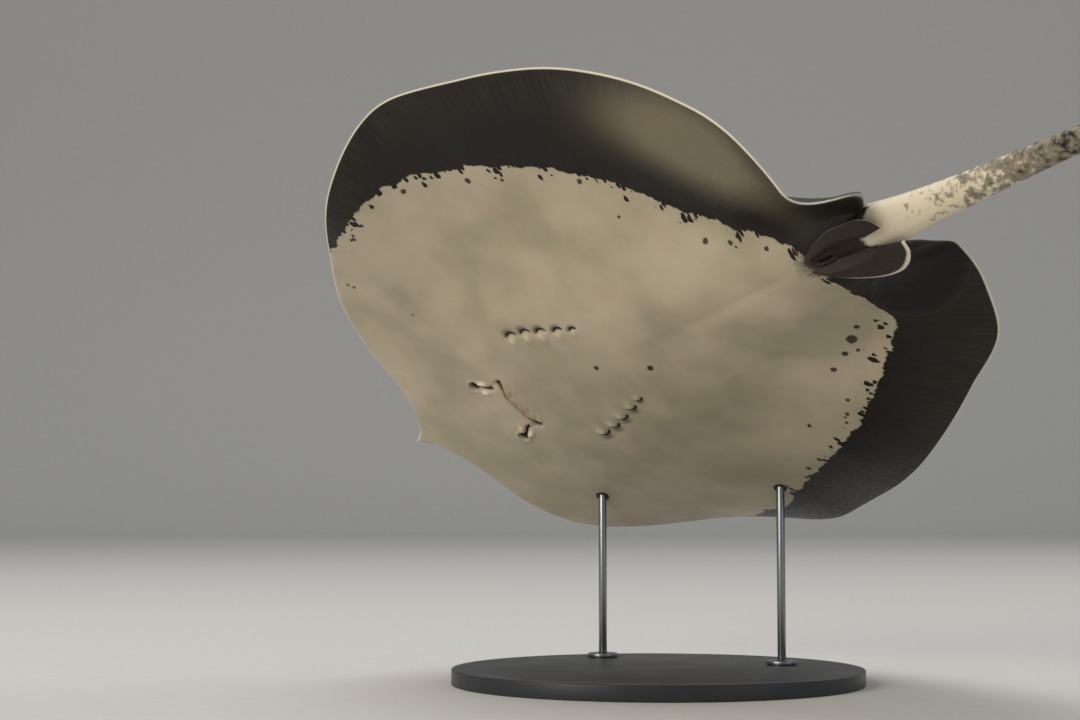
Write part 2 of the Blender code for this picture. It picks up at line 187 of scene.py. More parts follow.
# brushed stainless: grey, with fine lines along each rod that draw the light out into a streak
steel, shader = new_material("brushed_stainless_steel", 0.30, 1.0)
place = add_node(steel, "TexCoord", out="Object")
drawn_out = (1 / GRAIN_ACROSS, 1 / GRAIN_ACROSS, 1 / GRAIN_ALONG)
lines = add_node(steel, "Mapping", {"Vector": place, "Scale": drawn_out})
lines = add_node(steel, "TexNoise", (lines, 1.0, 3.0))
feed(shader, {
    "Base Color": add_node(steel, "Mix", (lines, STEEL, STEEL_LINES), data_type="RGBA"),
    "Roughness": add_node(steel, "MapRange", (lines, 0.3, 0.7, 0.24, 0.40)),
    "Normal": add_node(steel, "Bump", {"Height": lines, "Strength": 0.2, "Distance": 0.0002}),
})

# moulded rubber: dull black with a dusty bloom
rubber, shader = new_material("moulded_black_rubber", 0.75)
place = add_node(rubber, "TexCoord", out="Object")
bloom_and_sheen = add_node(rubber, "TexNoise", (place, 1 / BLOOM_SIZE, 3.0))
feed(shader, {
    "Base Color": add_node(rubber, "Mix", (bloom_and_sheen, RUBBER, RUBBER_BLOOM), data_type="RGBA"),
    "Normal": add_node(rubber, "Bump", {"Height": bloom_and_sheen, "Strength": 0.3, "Distance": 0.0002}),
})


def join_to(piece, others):
    """Makes one mesh of this piece and the others."""
    for each in (*others, piece):
        each.select_set(True)
    bpy.context.view_layer.objects.active = piece
    bpy.ops.object.join()


for end in ("front", "rear"):
    low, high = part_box(f"stand_rod_{end}")
    axis, bar_radius, tall = (low + high) / 2, (high.x - low.x) / 2, high.z - low.z
    bpy.ops.mesh.primitive_cylinder_add(vertices=48, radius=bar_radius, depth=tall, location=axis)
    rod = bpy.context.object
    bevel_edges(rod, ROD_CHAMFER, segments=2)
    settle(rod, f"stand_rod_{end}_bar", steel)
    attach(rod, "root")
    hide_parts(f"stand_rod_{end}")

    low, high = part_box(f"stand_flange_{end}")
    wide, tall = (high.x - low.x) / 2, high.z - low.z
    bpy.ops.mesh.primitive_cylinder_add(vertices=72, radius=wide, depth=tall, location=(low + high) / 2)
    flange = bpy.context.object
    choose_faces(flange, lambda face: abs(face.normal.z) > LEVEL)
    bpy.ops.mesh.inset(thickness=wide - bar_radius - BORE_GAP)
    bpy.ops.mesh.delete(type="FACE")
    bpy.ops.object.mode_set(mode="OBJECT")
    for edge in flange.data.edges:
        spots = [flange.data.vertices[number].co for number in edge.vertices]
        edge.select = all(math.hypot(spot.x, spot.y) < bar_radius + BORE_NEAR for spot in spots)
    bpy.ops.object.mode_set(mode="EDIT")
    bpy.ops.mesh.select_mode(type="EDGE")
    bpy.ops.mesh.bridge_edge_loops()
    bpy.ops.object.mode_set(mode="OBJECT")
    bevel_edges(flange, FLANGE_CHAMFER, segments=2)
    settle(flange, f"stand_flange_{end}_turned", steel)
    screws = []
    for number in range(SCREWS):
        turn = math.radians(90 + 360 / SCREWS * number)
        seat = Vector((axis.x, axis.y, high.z)) + SCREW_CIRCLE * Vector((math.cos(turn), math.sin(turn), 0))
        bpy.ops.mesh.primitive_cylinder_add(vertices=20, radius=SCREW_RADIUS, depth=SCREW_HIGH, location=seat)
        screw = bpy.context.object
        choose_faces(screw, lambda face: face.normal.z > LEVEL)
        bpy.ops.mesh.inset(thickness=SCREW_RADIUS - SOCKET_RADIUS)
        bpy.ops.mesh.extrude_region_move(TRANSFORM_OT_translate={"value": (0, 0, -SOCKET_DEEP)})
        bpy.ops.object.mode_set(mode="OBJECT")
        bevel_edges(screw, SCREW_CHAMFER, segments=2)
        screws.append(settle(screw, "screw", steel))
    join_to(flange, screws)
    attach(flange, "root")
    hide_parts(f"stand_flange_{end}")


# ---------------------------------------------------------------------------------------------------------
# Skin: one piece from the knob of the snout to the tip of the tail, cast in tinted resin over the body, with
# the mouth, nostrils, gill slits, vent, eye openings and spiracles in it. Pelvic fins grow from its belly.
# ---------------------------------------------------------------------------------------------------------
DISC = 0.96  # length of the disc, which the other sizes follow, as in the solids
BODY_END = 0.930 * DISC
EDGE = 0.0012  # half the thickness of a fin at its margin
OUTLINE = [  # the margin from the snout to the tail: aft and side in disc lengths
    (-0.010, 0.003), (0.004, 0.011), (0.036, 0.046), (0.058, 0.100), (0.072, 0.180), (0.104, 0.262),
    (0.200, 0.358), (0.320, 0.447), (0.450, 0.490), (0.600, 0.450), (0.750, 0.377), (0.870, 0.302),
    (0.960, 0.236), (0.982, 0.176), (0.984, 0.122), (0.988, 0.084), (0.979, 0.055), (0.956, 0.034),
]  # fmt: skip
BACK = [  # the back down the middle: aft and height in disc lengths
    (0.00, 0.006), (0.06, 0.015), (0.14, 0.027), (0.22, 0.040), (0.30, 0.052), (0.38, 0.058),
    (0.50, 0.059), (0.62, 0.053), (0.74, 0.043), (0.85, 0.033), (0.93, 0.026),
]  # fmt: skip
BELLY = [  # the same for the belly
    (0.00, 0.005), (0.06, 0.010), (0.14, 0.015), (0.22, 0.020), (0.30, 0.027), (0.38, 0.035),
    (0.50, 0.043), (0.62, 0.045), (0.74, 0.040), (0.85, 0.032), (0.93, 0.0265),
]  # fmt: skip
SNOUT_ROUND, SNOUT_ROWS = 0.0125, 0.008  # how far the knob's middle stands forward, and how soon that fades
SNOUT_CLOSE, TIP_CLOSE = 0.0030, 0.0015  # the rounded ends that close the skin run on this far
SNOUT_RISE = 0.0005  # height of the snout's end
CAP_AHEAD, CAP_IN = 0.004, 0.9  # how far ahead and inwards the rings that close the snout lie, opened flat
FIN_SHARE = 0.34  # the even slope's share of a section, against the round trunk's
BACK_REACH, BACK_ROUND = 0.130 * DISC, 2.2  # how far out the round trunk spreads, and the power of its fall
BELLY_REACH, BELLY_ROUND = 0.165 * DISC, 3.0
TRUNK_TAPER = 0.68  # it narrows by this share towards the tail
EYE_AFT, EYE_SIDE, EYE_RADIUS = 0.272 * DISC, 0.078 * DISC, 0.0100
BROW_HEIGHT, BROW_REACH = 0.0085, 0.026
LID_THICK, LID_OPEN = 0.0009, 0.0060  # the lids, and the radius of the opening between them
SPIRACLE_AFT, SPIRACLE_SIDE = 0.314 * DISC, 0.086 * DISC
SPIRACLE_LENGTH, SPIRACLE_WIDTH, SPIRACLE_DEPTH = 0.032, 0.020, 0.012
SPIRACLE = (SPIRACLE_AFT, SPIRACLE_SIDE, SPIRACLE_LENGTH / 2, SPIRACLE_WIDTH / 2)
HINGE_SIDE = 0.100 * DISC  # the fins bend from here outwards
# How sharply each fin curls up, at even steps from front to rear, in radians per disc length: left and right
CURLS = {-1: (0.31, -0.77, -0.03, 0.32, 0.84), 1: (1.57, 2.06, 1.25, 0.79, 0.61)}
REAR_LIFTS = (-0.134 * DISC, 0.058 * DISC)  # lift of each fin's rear, left and right
REAR_START, REAR_LENGTH = 0.68 * DISC, 0.30 * DISC
REAR_INNER, REAR_SPREAD = 0.038 * DISC, 0.128 * DISC
LOBE_LIFTS = (-0.013 * DISC, 0.041 * DISC)  # further lift of each fin's inner rear corner
LOBE_START, LOBE_LENGTH, LOBE_SIDE, LOBE_WIDE = 0.88 * DISC, 0.10 * DISC, 0.105 * DISC, 0.055 * DISC
LOBE_INNER, LOBE_EASE = 0.037 * DISC, 0.020 * DISC
ARCH_AFT, ARCH_SQUARE, ARCH_CUBE = 0.45, 0.02, -0.26  # the arch of the spine, in disc lengths
NUDGE = 0.002  # slopes are taken over this short a way
PELVIC_ROOT = [(0.832, 0.003), (0.895, 0.011), (0.945, 0.009)]  # aft and side in disc lengths, as its margin
PELVIC_MARGIN = [
    (0.834, 0.005), (0.858, 0.020), (0.905, 0.042), (0.945, 0.051), (0.976, 0.047), (0.998, 0.033),
    (1.002, 0.015),
]  # fmt: skip
PELVIC_SHARES = {-1: 0.72, 1: 1.0}  # how far each is spread: the left one is drawn in
PELVIC_THICKNESS, PELVIC_EDGE, PELVIC_RIM = 0.0060, 0.0024, 0.07  # at the root, the margin and its rounding
PELVIC_RISE, PELVIC_SUNK, PELVIC_FRONT_SUNK = 0.05, 0.006, 0.0075
PELVIC_RAYS, PELVIC_RAY_HIGH = 17, 0.00035
TAIL_LENGTH, TAIL_STEPS = 1.75 * DISC, 400
TAIL_WHIP, TAIL_TIP = 0.0135 * DISC, 0.0015  # half widths: the whip's at the root, and the tip's
TAIL_TAPER = 0.18 * DISC  # the root's extra width and its slope die away over about this length
TAIL_TURN, TAIL_SINK = math.radians(26), math.radians(-24)  # how far its end turns aside and dips
STING_AFT = 0.40 * DISC  # down the tail
ROLL, PITCH, HEADING = math.radians(43.5), math.radians(-17.3), math.radians(43.7)  # as it hangs in the room
SNOUT = Vector((-0.355, 0.228, 0.333))

# Face and belly, on the underside
NOSTRIL_AFT, NOSTRIL_SIDE, NOSTRIL_ROUND, NOSTRIL_DEEP = 0.213 * DISC, 0.056 * DISC, 0.0072, 0.0090
SLIT_AFT, SLIT_SIDE = 0.026 * DISC, -0.013 * DISC  # the slit from the nostril's pit, back and inwards
SLIT_WIDE, SLIT_DEEP, SLIT_WAVE = 0.0024, 0.0040, 0.0012
WING_OUT, WING_WIDE, WING_LONG, WING_HIGH = 0.0076, 0.0048, 0.0085, 0.0038  # swollen wings beside each slit
BRIM_HIGH = 0.0012  # round each nostril's pit
CREASE_WIDE, CREASE_DEEP = 0.0022, 0.0020  # the crease from each slit to the mouth's corner
MOUTH_AFT, MOUTH_HALF, MOUTH_ARCH = 0.2535 * DISC, 0.052 * DISC, 0.008 * DISC
MOUTH_BACK, MOUTH_DEEP, MOUTH_WIDE, MOUTH_EASE = 0.0008, 0.0050, 0.0016, 0.010
MOUTH_WAVE, MOUTH_WAVE_LONG = 0.0012, 0.0065
LIP_BACK, LIP_WIDE, LIP_HIGH = 0.0080, 0.0058, 0.0030
WRINKLE_BACK, WRINKLE_WIDE, WRINKLE_HIGH, WRINKLE_SIZE = 0.010, 0.012, 0.0008, 0.011
CURTAIN_AFT, CURTAIN_HALF, CURTAIN_HIGH = 0.195 * DISC, 0.0405 * DISC, 0.0020
CURTAIN_RISE, CURTAIN_SIDE, CURTAIN_HEM = 0.030, 0.0090, 0.0030  # how long its front, side and hem slope
CURTAIN_LIP_BACK, CURTAIN_LIP_WIDE = 0.007, 0.006  # its hem is painted as the lip is
GILLS = [  # aft and side in disc lengths, and size
    (0.351, 0.099, 1.0), (0.379, 0.094, 1.0), (0.406, 0.086, 0.95), (0.435, 0.077, 0.85),
    (0.459, 0.069, 0.65),
]  # fmt: skip
GILL_LONG, GILL_WIDE, GILL_HIGH, GILL_DEEP, GILL_SLIT = 0.0098, 0.0088, 0.0032, 0.0042, 0.0021
TROUGH_OUT, TROUGH_WIDE, TROUGH_DEEP = 0.0120, 0.0095, 0.0016
FOLD = (0.925 * DISC, 0.115 * DISC, 0.060 * DISC, 0.055 * DISC)  # oval of painted shade over the right fin's inner rear corner
CORNER = (0.965 * DISC, 0.085 * DISC, 0.062 * DISC, 0.062 * DISC)  # the same corner of both fins, with painted shade on the back
VENT_AFT, VENT_HALF, VENT_EASE, VENT_WIDE, VENT_DEEP = 0.878 * DISC, 0.015, 0.006, 0.0018, 0.0040
VENT_LIP_OUT, VENT_LIP_WIDE, VENT_LIP_HIGH = 0.0050, 0.0035, 0.0024
VENT_SHADE_OVAL = (0.885 * DISC, 0.0, 0.048, 0.030)  # oval of painted shade round the vent

# Swells of the flesh: height, aft of the middle, half length, side of the middle, half width, slant
BELLY_SWELLS = [
    (0.0030, 0.392 * DISC, 0.085, 0.0, 0.088, 0.0),  # gill basket
    (0.0016, 0.505 * DISC, 0.014, 0.050, 0.055, 0.10),  # girdle
    (0.0026, 0.67 * DISC, 0.13, 0.042, 0.045, 0.0),  # gut
]
BACK_SWELLS = [
    (0.0022, 0.44 * DISC, 0.10, 0.060, 0.030, 0.0),  # shoulders
    (-0.0022, 0.27 * DISC, 0.045, 0.0, 0.034, 0.0),  # dip between the eyes
]
BELLY_WAVES = [(0.0015, 0.11, 3), (0.0006, 0.045, 4)]  # height, size and seed of its soft unevenness
BACK_WAVES = [(0.0013, 0.12, 5), (0.0005, 0.05, 6)]
BELLY_SUNK, BACK_SUNK = 0.0016, 0.0012  # the skin between the swells lies this much lower
BELLY_LINE_WIDE, BELLY_LINE_DEEP, BELLY_LINE_ENDS = 0.006, 0.0012, (0.50 * DISC, 0.84 * DISC)
CREASES_SIZE, CREASES_SHARP, CREASES_DEEP = 0.10, 0.10, 0.0009
CREASES_AFT, CREASES_SIDE = 0.55 * DISC, 0.10 * DISC
FOLD_WIDE, FOLD_HIGH = 0.10, 0.0014

# Lids, spiracles and ridge, on the back
EYE_SUNK, SLOT_LONG, SLOT_OUT, SLOT_DEEP = 0.45 * EYE_RADIUS, 1.25, 0.0014, 0.0022
LID_BROW_HIGH, LID_BROW_REACH, LID_BLEND = 0.0040, 0.0135, 0.0012
LID_EDGE_OUT, LID_EDGE_WIDE, LID_EDGE_HIGH = 0.0012, 0.0008, 0.0006
LIDS_END, LIDS_FADE = 0.030, 0.014
VALVE_AHEAD, VALVE_WIDE, VALVE_HIGH, SPIRACLE_BRIM = 0.011, 0.0035, 0.006, 0.0012
RIDGE_AFT, RIDGE_RISE, RIDGE_WIDE, RIDGE_HIGH = 0.30 * DISC, 0.08, 0.014, 0.0022
KNOT_SIZE, KNOT_HIGH = 0.035, 0.0005  # knots along the tail

# Dark band along the rear of each fin's underside: (row, width in disc lengths), left and right
BANDS = {
    -1: [(0.0, -0.03), (0.26, -0.03), (0.30, 0.014), (0.36, 0.045), (0.42, 0.080), (0.48, 0.130),
         (0.55, 0.138), (0.65, 0.156), (0.75, 0.180), (0.83, 0.178), (0.89, 0.145), (0.92, 0.130),
         (0.95, 0.155), (0.97, 0.160), (1.0, 0.100)],
    1: [(0.0, -0.03), (0.36, -0.03), (0.39, 0.012), (0.43, 0.070), (0.51, 0.117), (0.60, 0.119),
        (0.70, 0.105), (0.80, 0.098), (0.86, 0.094), (0.92, 0.120), (0.96, 0.110), (1.0, 0.060)],
}  # fmt: skip

SHEEN_ROW, SHEEN_ROWS, SHEEN_IN, SHEEN_WIDE = 0.80, 0.105, 0.056, 0.060  # painted sheen on the left fin's rear: a pale highlight laid over the dark band
RIM_PALE = 0.0005  # the pale rim is this much narrower on the right
CORNER_THICK = {-1: 0.0018, 1: 0.0030}  # and this much at each fin's thick rear corner

HALF_COLUMNS, RIM_COLUMNS = 44, 3  # faces from the middle to the margin, and those that round the margin
SNOUT_CAP, DISC_FACES, TAIL_FACES, TAIL_CAP = 4, 160, 86, 4  # faces along the body
RIM_START = 1 - RIM_COLUMNS / HALF_COLUMNS


def smooth_line(points, places):
    """Points of a smooth line through these points, at these shares of its length."""
    points = np.array(points, float)
    lengths = np.hypot(*np.diff(points, axis=0).T)
    knots = np.concatenate([[0], np.cumsum(lengths)])
    slopes = np.gradient(points, knots, axis=0)
    at = np.asarray(places, float) * knots[-1]
    left = np.clip(np.searchsorted(knots, at, side="right") - 1, 0, len(knots) - 2)
    width = (knots[left + 1] - knots[left])[..., None]
    step = (at - knots[left])[..., None] / width
    start, end = points[left], points[left + 1]
    rise, fall = slopes[left] * width, slopes[left + 1] * width
    return (
        start * (1 + 2 * step) * (1 - step) ** 2
        + rise * step * (1 - step) ** 2
        + end * step**2 * (3 - 2 * step)
        - fall * step**2 * (1 - step)
    )


def fade(value):
    """0 up to 1 with no corner at either end."""
    value = np.clip(value, 0, 1)
    return value * value * (3 - 2 * value)


def hump(distance, width):
    """1 at no distance, falling softly to nothing some way past this width."""
    return np.exp(-((distance / width) ** 2))


def outline_at(row):
    """Margin (aft, side) at this share of the way round the fin, from the snout to the tail."""
    margin = smooth_line(OUTLINE, row) * DISC
    return margin[..., 0], margin[..., 1]


def flat_point(row, reach):
    """Place on the flat disc: a row leaves the spine sideways and curves to the margin, as fin rays do."""
    margin_aft, margin_side = outline_at(row)
    spine_aft = BODY_END * row - SNOUT_ROUND * np.exp(-row / SNOUT_ROWS)
    return spine_aft + reach**2 * (margin_aft - spine_aft), reach * margin_side


def rim_share(half_width):
    """Share of a section's half width over which its margin is rounded."""
    return np.minimum(1.3 * EDGE / half_width, 0.25)


def rounded_rim(reach, rim):
    """Height of a section's margin as a share: 1 as far as its rim, and down to 0 in a quarter round."""
    return np.sqrt(1 - np.clip((reach - 1 + rim) / rim, 0, 1) ** 2)


def dome(reach):
    """Height of a half round as a share: 1 in the middle and 0 at a reach of 1."""
    return np.sqrt(np.clip(1 - reach**2, 0, 1))


def thickness(row, reach, heights):
    """Distance from the fin's middle surface to its upper or lower skin, with the margin rounded off."""
    aft, side = flat_point(row, reach)
    middle = np.interp(BODY_END * row / DISC, *np.transpose(heights)) * DISC - EDGE
    spread, power = (BACK_REACH, BACK_ROUND) if heights is BACK else (BELLY_REACH, BELLY_ROUND)
    spread = spread * (1 - TRUNK_TAPER * fade((row - 0.5) / 0.5))
    round_trunk = np.exp(-((side / spread) ** power)) * (1 - reach**4)
    fin = FIN_SHARE * (1 - reach) ** 1.15 + (1 - FIN_SHARE) * round_trunk
    to_tail = fade((row - 0.95) / 0.05)
    rounded = rounded_rim(reach, rim_share(outline_at(row)[1]))
    size = EDGE * rounded + middle * ((1 - to_tail) * fin + to_tail * dome(reach))
    if heights is BACK:
        size = size + BROW_HEIGHT * hump(np.hypot(aft - EYE_AFT, side - EYE_SIDE), BROW_REACH)
    return size


def swim(aft, side, lobes=1):
    """Where the fins' beat takes a place of the disc's middle surface, with this share of LOBE_LIFTS."""
    hand = np.where(side < 0, -1, 1)
    across = np.abs(side)
    knots = np.linspace(0, DISC, len(CURLS[-1]))
    cell = np.clip(np.searchsorted(knots, aft, side="right") - 1, 0, len(knots) - 2)
    step = fade((aft - knots[cell]) / knots[1])
    left, right = (
        np.take(curls, cell) * (1 - step) + np.take(curls, cell + 1) * step for curls in CURLS.values()
    )
    curl = np.where(side < 0, left, right) / DISC
    span = np.maximum(across - HINGE_SIDE, 0)
    turn = curl * span
    outward = np.minimum(across, HINGE_SIDE) + span * np.sinc(turn / math.pi)
    upward = span * np.sinc(turn / math.tau) * np.sin(turn / 2)
    rear = np.maximum((aft - REAR_START) / REAR_LENGTH, 0) ** 2
    upward = upward + np.where(side < 0, *REAR_LIFTS) * rear * fade((across - REAR_INNER) / REAR_SPREAD)
    lobe = fade((aft - LOBE_START) / LOBE_LENGTH) * hump(across - LOBE_SIDE, LOBE_WIDE)
    lobe = lobe * fade((across - LOBE_INNER) / LOBE_EASE)
    upward = upward + lobes * np.where(side < 0, *LOBE_LIFTS) * lobe
    station = aft / DISC - ARCH_AFT
    upward = upward + DISC * (ARCH_SQUARE * station**2 + ARCH_CUBE * station**3)
    return np.stack([aft, hand * outward, upward], -1)


def swum(aft, side, height, lobes=1):
    """A place at this height over or under the middle surface, after the bend."""
    out = np.where(side < 0, -NUDGE, NUDGE)
    middle = swim(aft, side, lobes)
    along = swim(aft + NUDGE, side, lobes) - middle
    across = (swim(aft, side + out, lobes) - middle) * np.sign(out)[..., None]
    normal = np.cross(along, across)
    normal /= np.linalg.norm(normal, axis=-1, keepdims=True)
    return middle + normal * np.asarray(height)[..., None]


HANG = np.array(Euler((PITCH, ROLL, HEADING), "YXZ").to_matrix())


def hang_way(ways):
    """Directions in the animal's own axes as the room's."""
    aft, side, up = np.moveaxis(np.asarray(ways, float), -1, 0)
    return np.stack([side, -aft, up], -1) @ HANG.T


def hang(points):
    """Places in the animal's own axes as the room's."""
    return hang_way(points) + np.array(SNOUT)


def unevenness(aft, side, size, seed):
    """Soft random swells of about this size, from -1 to 1."""
    draw = np.random.default_rng(seed)
    total = 0
    for _ in range(7):
        heading, phase = draw.uniform(0, math.pi), draw.uniform(0, math.tau)
        length = size * draw.uniform(0.7, 1.5)
        run = aft * math.cos(heading) + side * math.sin(heading)
        total = total + np.sin(run * math.tau / length + phase)
    return total / 4


def from_oval(aft, side, oval_aft, oval_side, half_length, half_width):
    """Distance from an oval that lies on both sides of the body: 0 in its middle and 1 along its outline."""
    return np.hypot((aft - oval_aft) / half_length, (np.abs(side) - oval_side) / half_width)


def face_relief(aft, side):
    """What the mouth, nostrils, gills and vent add to the underside: height, painted shade in the hollows,
    painted highlight on the flaps, and lip.
    """
    across = np.abs(side)

    # mouth: an arched slit, pinched in the middle and open at the corners, behind the low nasal curtain
    line = MOUTH_AFT + MOUTH_ARCH * (side / MOUTH_HALF) ** 2
    behind = aft - line - MOUTH_WAVE * np.sin(side / MOUTH_WAVE_LONG + 0.8)
    open_share = fade((MOUTH_HALF - across) / MOUTH_EASE + 0.3)
    corner = fade((across - 0.45 * MOUTH_HALF) / (0.5 * MOUTH_HALF))
    slit = hump(behind - MOUTH_BACK, MOUTH_WIDE * (1 + 3.4 * corner)) * open_share * (0.5 + 0.5 * corner)
    lip = hump(behind - LIP_BACK, LIP_WIDE) * open_share * (1 - 0.6 * corner)
    wrinkles = hump(behind - WRINKLE_BACK, WRINKLE_WIDE) * open_share
    wrinkles = wrinkles * unevenness(aft, side, WRINKLE_SIZE, seed=12)
    curtain = fade((CURTAIN_HALF - across) / CURTAIN_SIDE + 0.5) * fade((aft - CURTAIN_AFT) / CURTAIN_RISE)
    curtain = curtain * fade(-behind / CURTAIN_HEM + 0.5)
    height = LIP_HIGH * lip + WRINKLE_HIGH * wrinkles + CURTAIN_HIGH * curtain - MOUTH_DEEP * slit
    hollow_shade = 0.92 * slit
    lips = np.maximum(lip, 0.5 * curtain * fade((behind + CURTAIN_LIP_BACK) / CURTAIN_LIP_WIDE))

    # nostrils: a round pit and a slit from it, back and inwards, between two swollen wings
    pit_aft, pit_side = aft - NOSTRIL_AFT, across - NOSTRIL_SIDE
    from_pit = np.hypot(pit_aft, pit_side) / NOSTRIL_ROUND
    slit_long = math.hypot(SLIT_AFT, SLIT_SIDE)
    along = (pit_aft * SLIT_AFT + pit_side * SLIT_SIDE) / slit_long**2
    beside = (pit_side * SLIT_AFT - pit_aft * SLIT_SIDE) / slit_long
    pit = fade(1.6 - 1.2 * from_pit)
    groove = hump(beside - SLIT_WAVE * np.sin(along * 5), SLIT_WIDE)
    groove = groove * fade(along / 0.2 + 0.5) * fade((1.45 - along) / 0.5)
    run = np.clip((along - 0.9) / 0.6, 0, 1)
    crease_aft = (1 - run) * 0.9 * SLIT_AFT + run * (MOUTH_AFT + 0.8 * MOUTH_ARCH - NOSTRIL_AFT)
    crease_side = (1 - run) * 0.9 * SLIT_SIDE + run * (0.86 * MOUTH_HALF - NOSTRIL_SIDE)
    crease = hump(np.hypot(pit_aft - crease_aft, pit_side - crease_side), CREASE_WIDE)
    crease = crease * fade((along - 0.8) / 0.2)
    wings = hump(np.abs(beside) - WING_OUT, WING_WIDE) * hump((along - 0.58) * slit_long, WING_LONG)
    wings = wings * np.where(beside > 0, 1.0, 0.8)
    brim = hump(from_pit - 1.5, 0.35) * (1 - groove)
    height += WING_HIGH * wings + BRIM_HIGH * brim - CREASE_DEEP * crease
    height -= np.maximum(NOSTRIL_DEEP * pit, SLIT_DEEP * groove)
    hollow_shade = np.maximum.reduce([hollow_shade, pit, 0.9 * groove, 0.5 * crease])
    flap = wings * (1 - groove)

    # gills: five rounded flaps on each side, over slits that open outwards in a shaded trough
    for gill_aft, gill_side, size in GILLS:
        from_aft, from_side = aft - gill_aft * DISC, across - gill_side * DISC
        ring = np.hypot(from_aft / GILL_LONG, from_side / GILL_WIDE) / size
        heading = np.arctan2(from_aft / GILL_LONG, from_side / GILL_WIDE)
        slit = hump((ring - 1.12) * GILL_WIDE * size, GILL_SLIT) * fade((1.5 - np.abs(heading - 0.15)) / 0.8)
        inner = np.where(from_side < 0, 0.62, 1.0)
        leaf = hump(np.hypot(from_aft / GILL_LONG, from_side / GILL_WIDE * inner) / size, 0.78)
        trough = hump(np.hypot(from_aft * 0.65, from_side - TROUGH_OUT * size), TROUGH_WIDE * size)
        height += size * (GILL_HIGH * leaf - GILL_DEEP * slit - TROUGH_DEEP * trough)
        hollow_shade = np.maximum.reduce([hollow_shade, 0.90 * slit, 0.62 * trough * (1 - leaf)])
        flap = np.maximum(flap, 0.52 * size * leaf)

    # vent: a slit along the middle, with swollen lips
    vent = fade((VENT_HALF - np.abs(aft - VENT_AFT)) / VENT_EASE)
    height += vent * VENT_LIP_HIGH * hump(across - VENT_LIP_OUT, VENT_LIP_WIDE)
    height -= vent * VENT_DEEP * hump(across, VENT_WIDE)
    hollow_shade = np.maximum(hollow_shade, vent * hump(across, 0.0020))
    return height, hollow_shade, flap, lips


def flesh(aft, side, reach, swells, waves, sunk):
    """Height of the flesh's swells and, inside the fins' margins, of soft waves in a slightly sunken skin."""
    across = np.abs(side)
    height = sum(
        high * hump(aft - middle - slant * across, long) * hump(across - out, wide)
        for high, middle, long, out, wide, slant in swells
    )
    soft = sum(high * unevenness(aft, side, size, seed) for high, size, seed in waves)
    return height + (soft - sunk) * (1 - fade((reach - 0.55) / 0.4))


def belly_relief(aft, side, reach):
    """The body under the belly's skin: its flesh, the line down its middle, soft creases and a fold."""
    across = np.abs(side)
    start, stop = BELLY_LINE_ENDS
    line = hump(side, BELLY_LINE_WIDE) * fade((aft - start) / 0.05) * fade((stop - aft) / 0.05)
    creases = hump(unevenness(aft, side * 2.4, CREASES_SIZE, seed=11), CREASES_SHARP)
    creases = creases * hump(across - CREASES_SIDE, 0.05) * fade((aft - CREASES_AFT) / 0.06)
    fold = hump(from_oval(aft, side, *FOLD) - 1, FOLD_WIDE) * fade((0.98 - reach) / 0.05) * (side > 0)
    height = flesh(aft, side, reach, BELLY_SWELLS, BELLY_WAVES, BELLY_SUNK)
    return height + FOLD_HIGH * fold - BELLY_LINE_DEEP * line - CREASES_DEEP * creases


def back_relief(aft, side, reach):
    """Height of the lids, eye openings, spiracles and low ridge on the back, and the shade painted in the eye
    openings and spiracles.
    """
    across = np.abs(side)
    from_eye = np.hypot(aft - EYE_AFT, across - EYE_SIDE)
    ball = np.sqrt(np.maximum(EYE_RADIUS**2 - from_eye**2, 0)) - EYE_SUNK
    lid, brow = ball + LID_THICK, LID_BROW_HIGH * hump(from_eye, LID_BROW_REACH)
    cover = (lid + brow + np.sqrt((lid - brow) ** 2 + LID_BLEND**2)) / 2
    from_slot = np.hypot((aft - EYE_AFT) / SLOT_LONG, across - EYE_SIDE - SLOT_OUT)
    opening = fade((LID_OPEN - from_slot) / LID_THICK)
    cover = cover + LID_EDGE_HIGH * hump(from_slot - LID_OPEN - LID_EDGE_OUT, LID_EDGE_WIDE)
    lids = (1 - opening) * cover + opening * (ball - SLOT_DEEP)
    ring = from_oval(aft, side, *SPIRACLE)
    hole = dome(ring) * fade((1 - ring) / 0.25)
    valve = hump(aft - SPIRACLE_AFT + VALVE_AHEAD, VALVE_WIDE) * fade((1 - ring) / 0.2)
    spiracles = VALVE_HIGH * valve - SPIRACLE_DEPTH * hole + SPIRACLE_BRIM * hump(ring - 1.16, 0.16)
    ridge = RIDGE_HIGH * hump(side, RIDGE_WIDE) * fade((aft - RIDGE_AFT) / RIDGE_RISE)
    height = lids * fade((LIDS_END - from_eye) / LIDS_FADE) + spiracles + ridge
    height = height + flesh(aft, side, reach, BACK_SWELLS, BACK_WAVES, BACK_SUNK)
    return height, np.maximum(opening, hole * (1 - 0.6 * valve))


def disc_skin(row, reach, under, lift=0.0):
    """Places on the skin of the head, trunk and pectoral fins; reach is negative to the left."""
    across = np.abs(reach)
    aft, side = flat_point(row, across)
    signed = np.where(reach < 0, -side, side)
    calm = fade(row / 0.05) * fade((1 - row) / 0.05) * fade((1 - across) / 0.08)
    top = thickness(row, across, BACK) + calm * back_relief(aft, signed, across)[0] + lift
    face = face_relief(aft, signed)[0] + belly_relief(aft, signed, across)
    bottom = -thickness(row, across, BELLY) - calm * face - lift
    return hang(swum(aft, signed, np.where(under, bottom, top)))


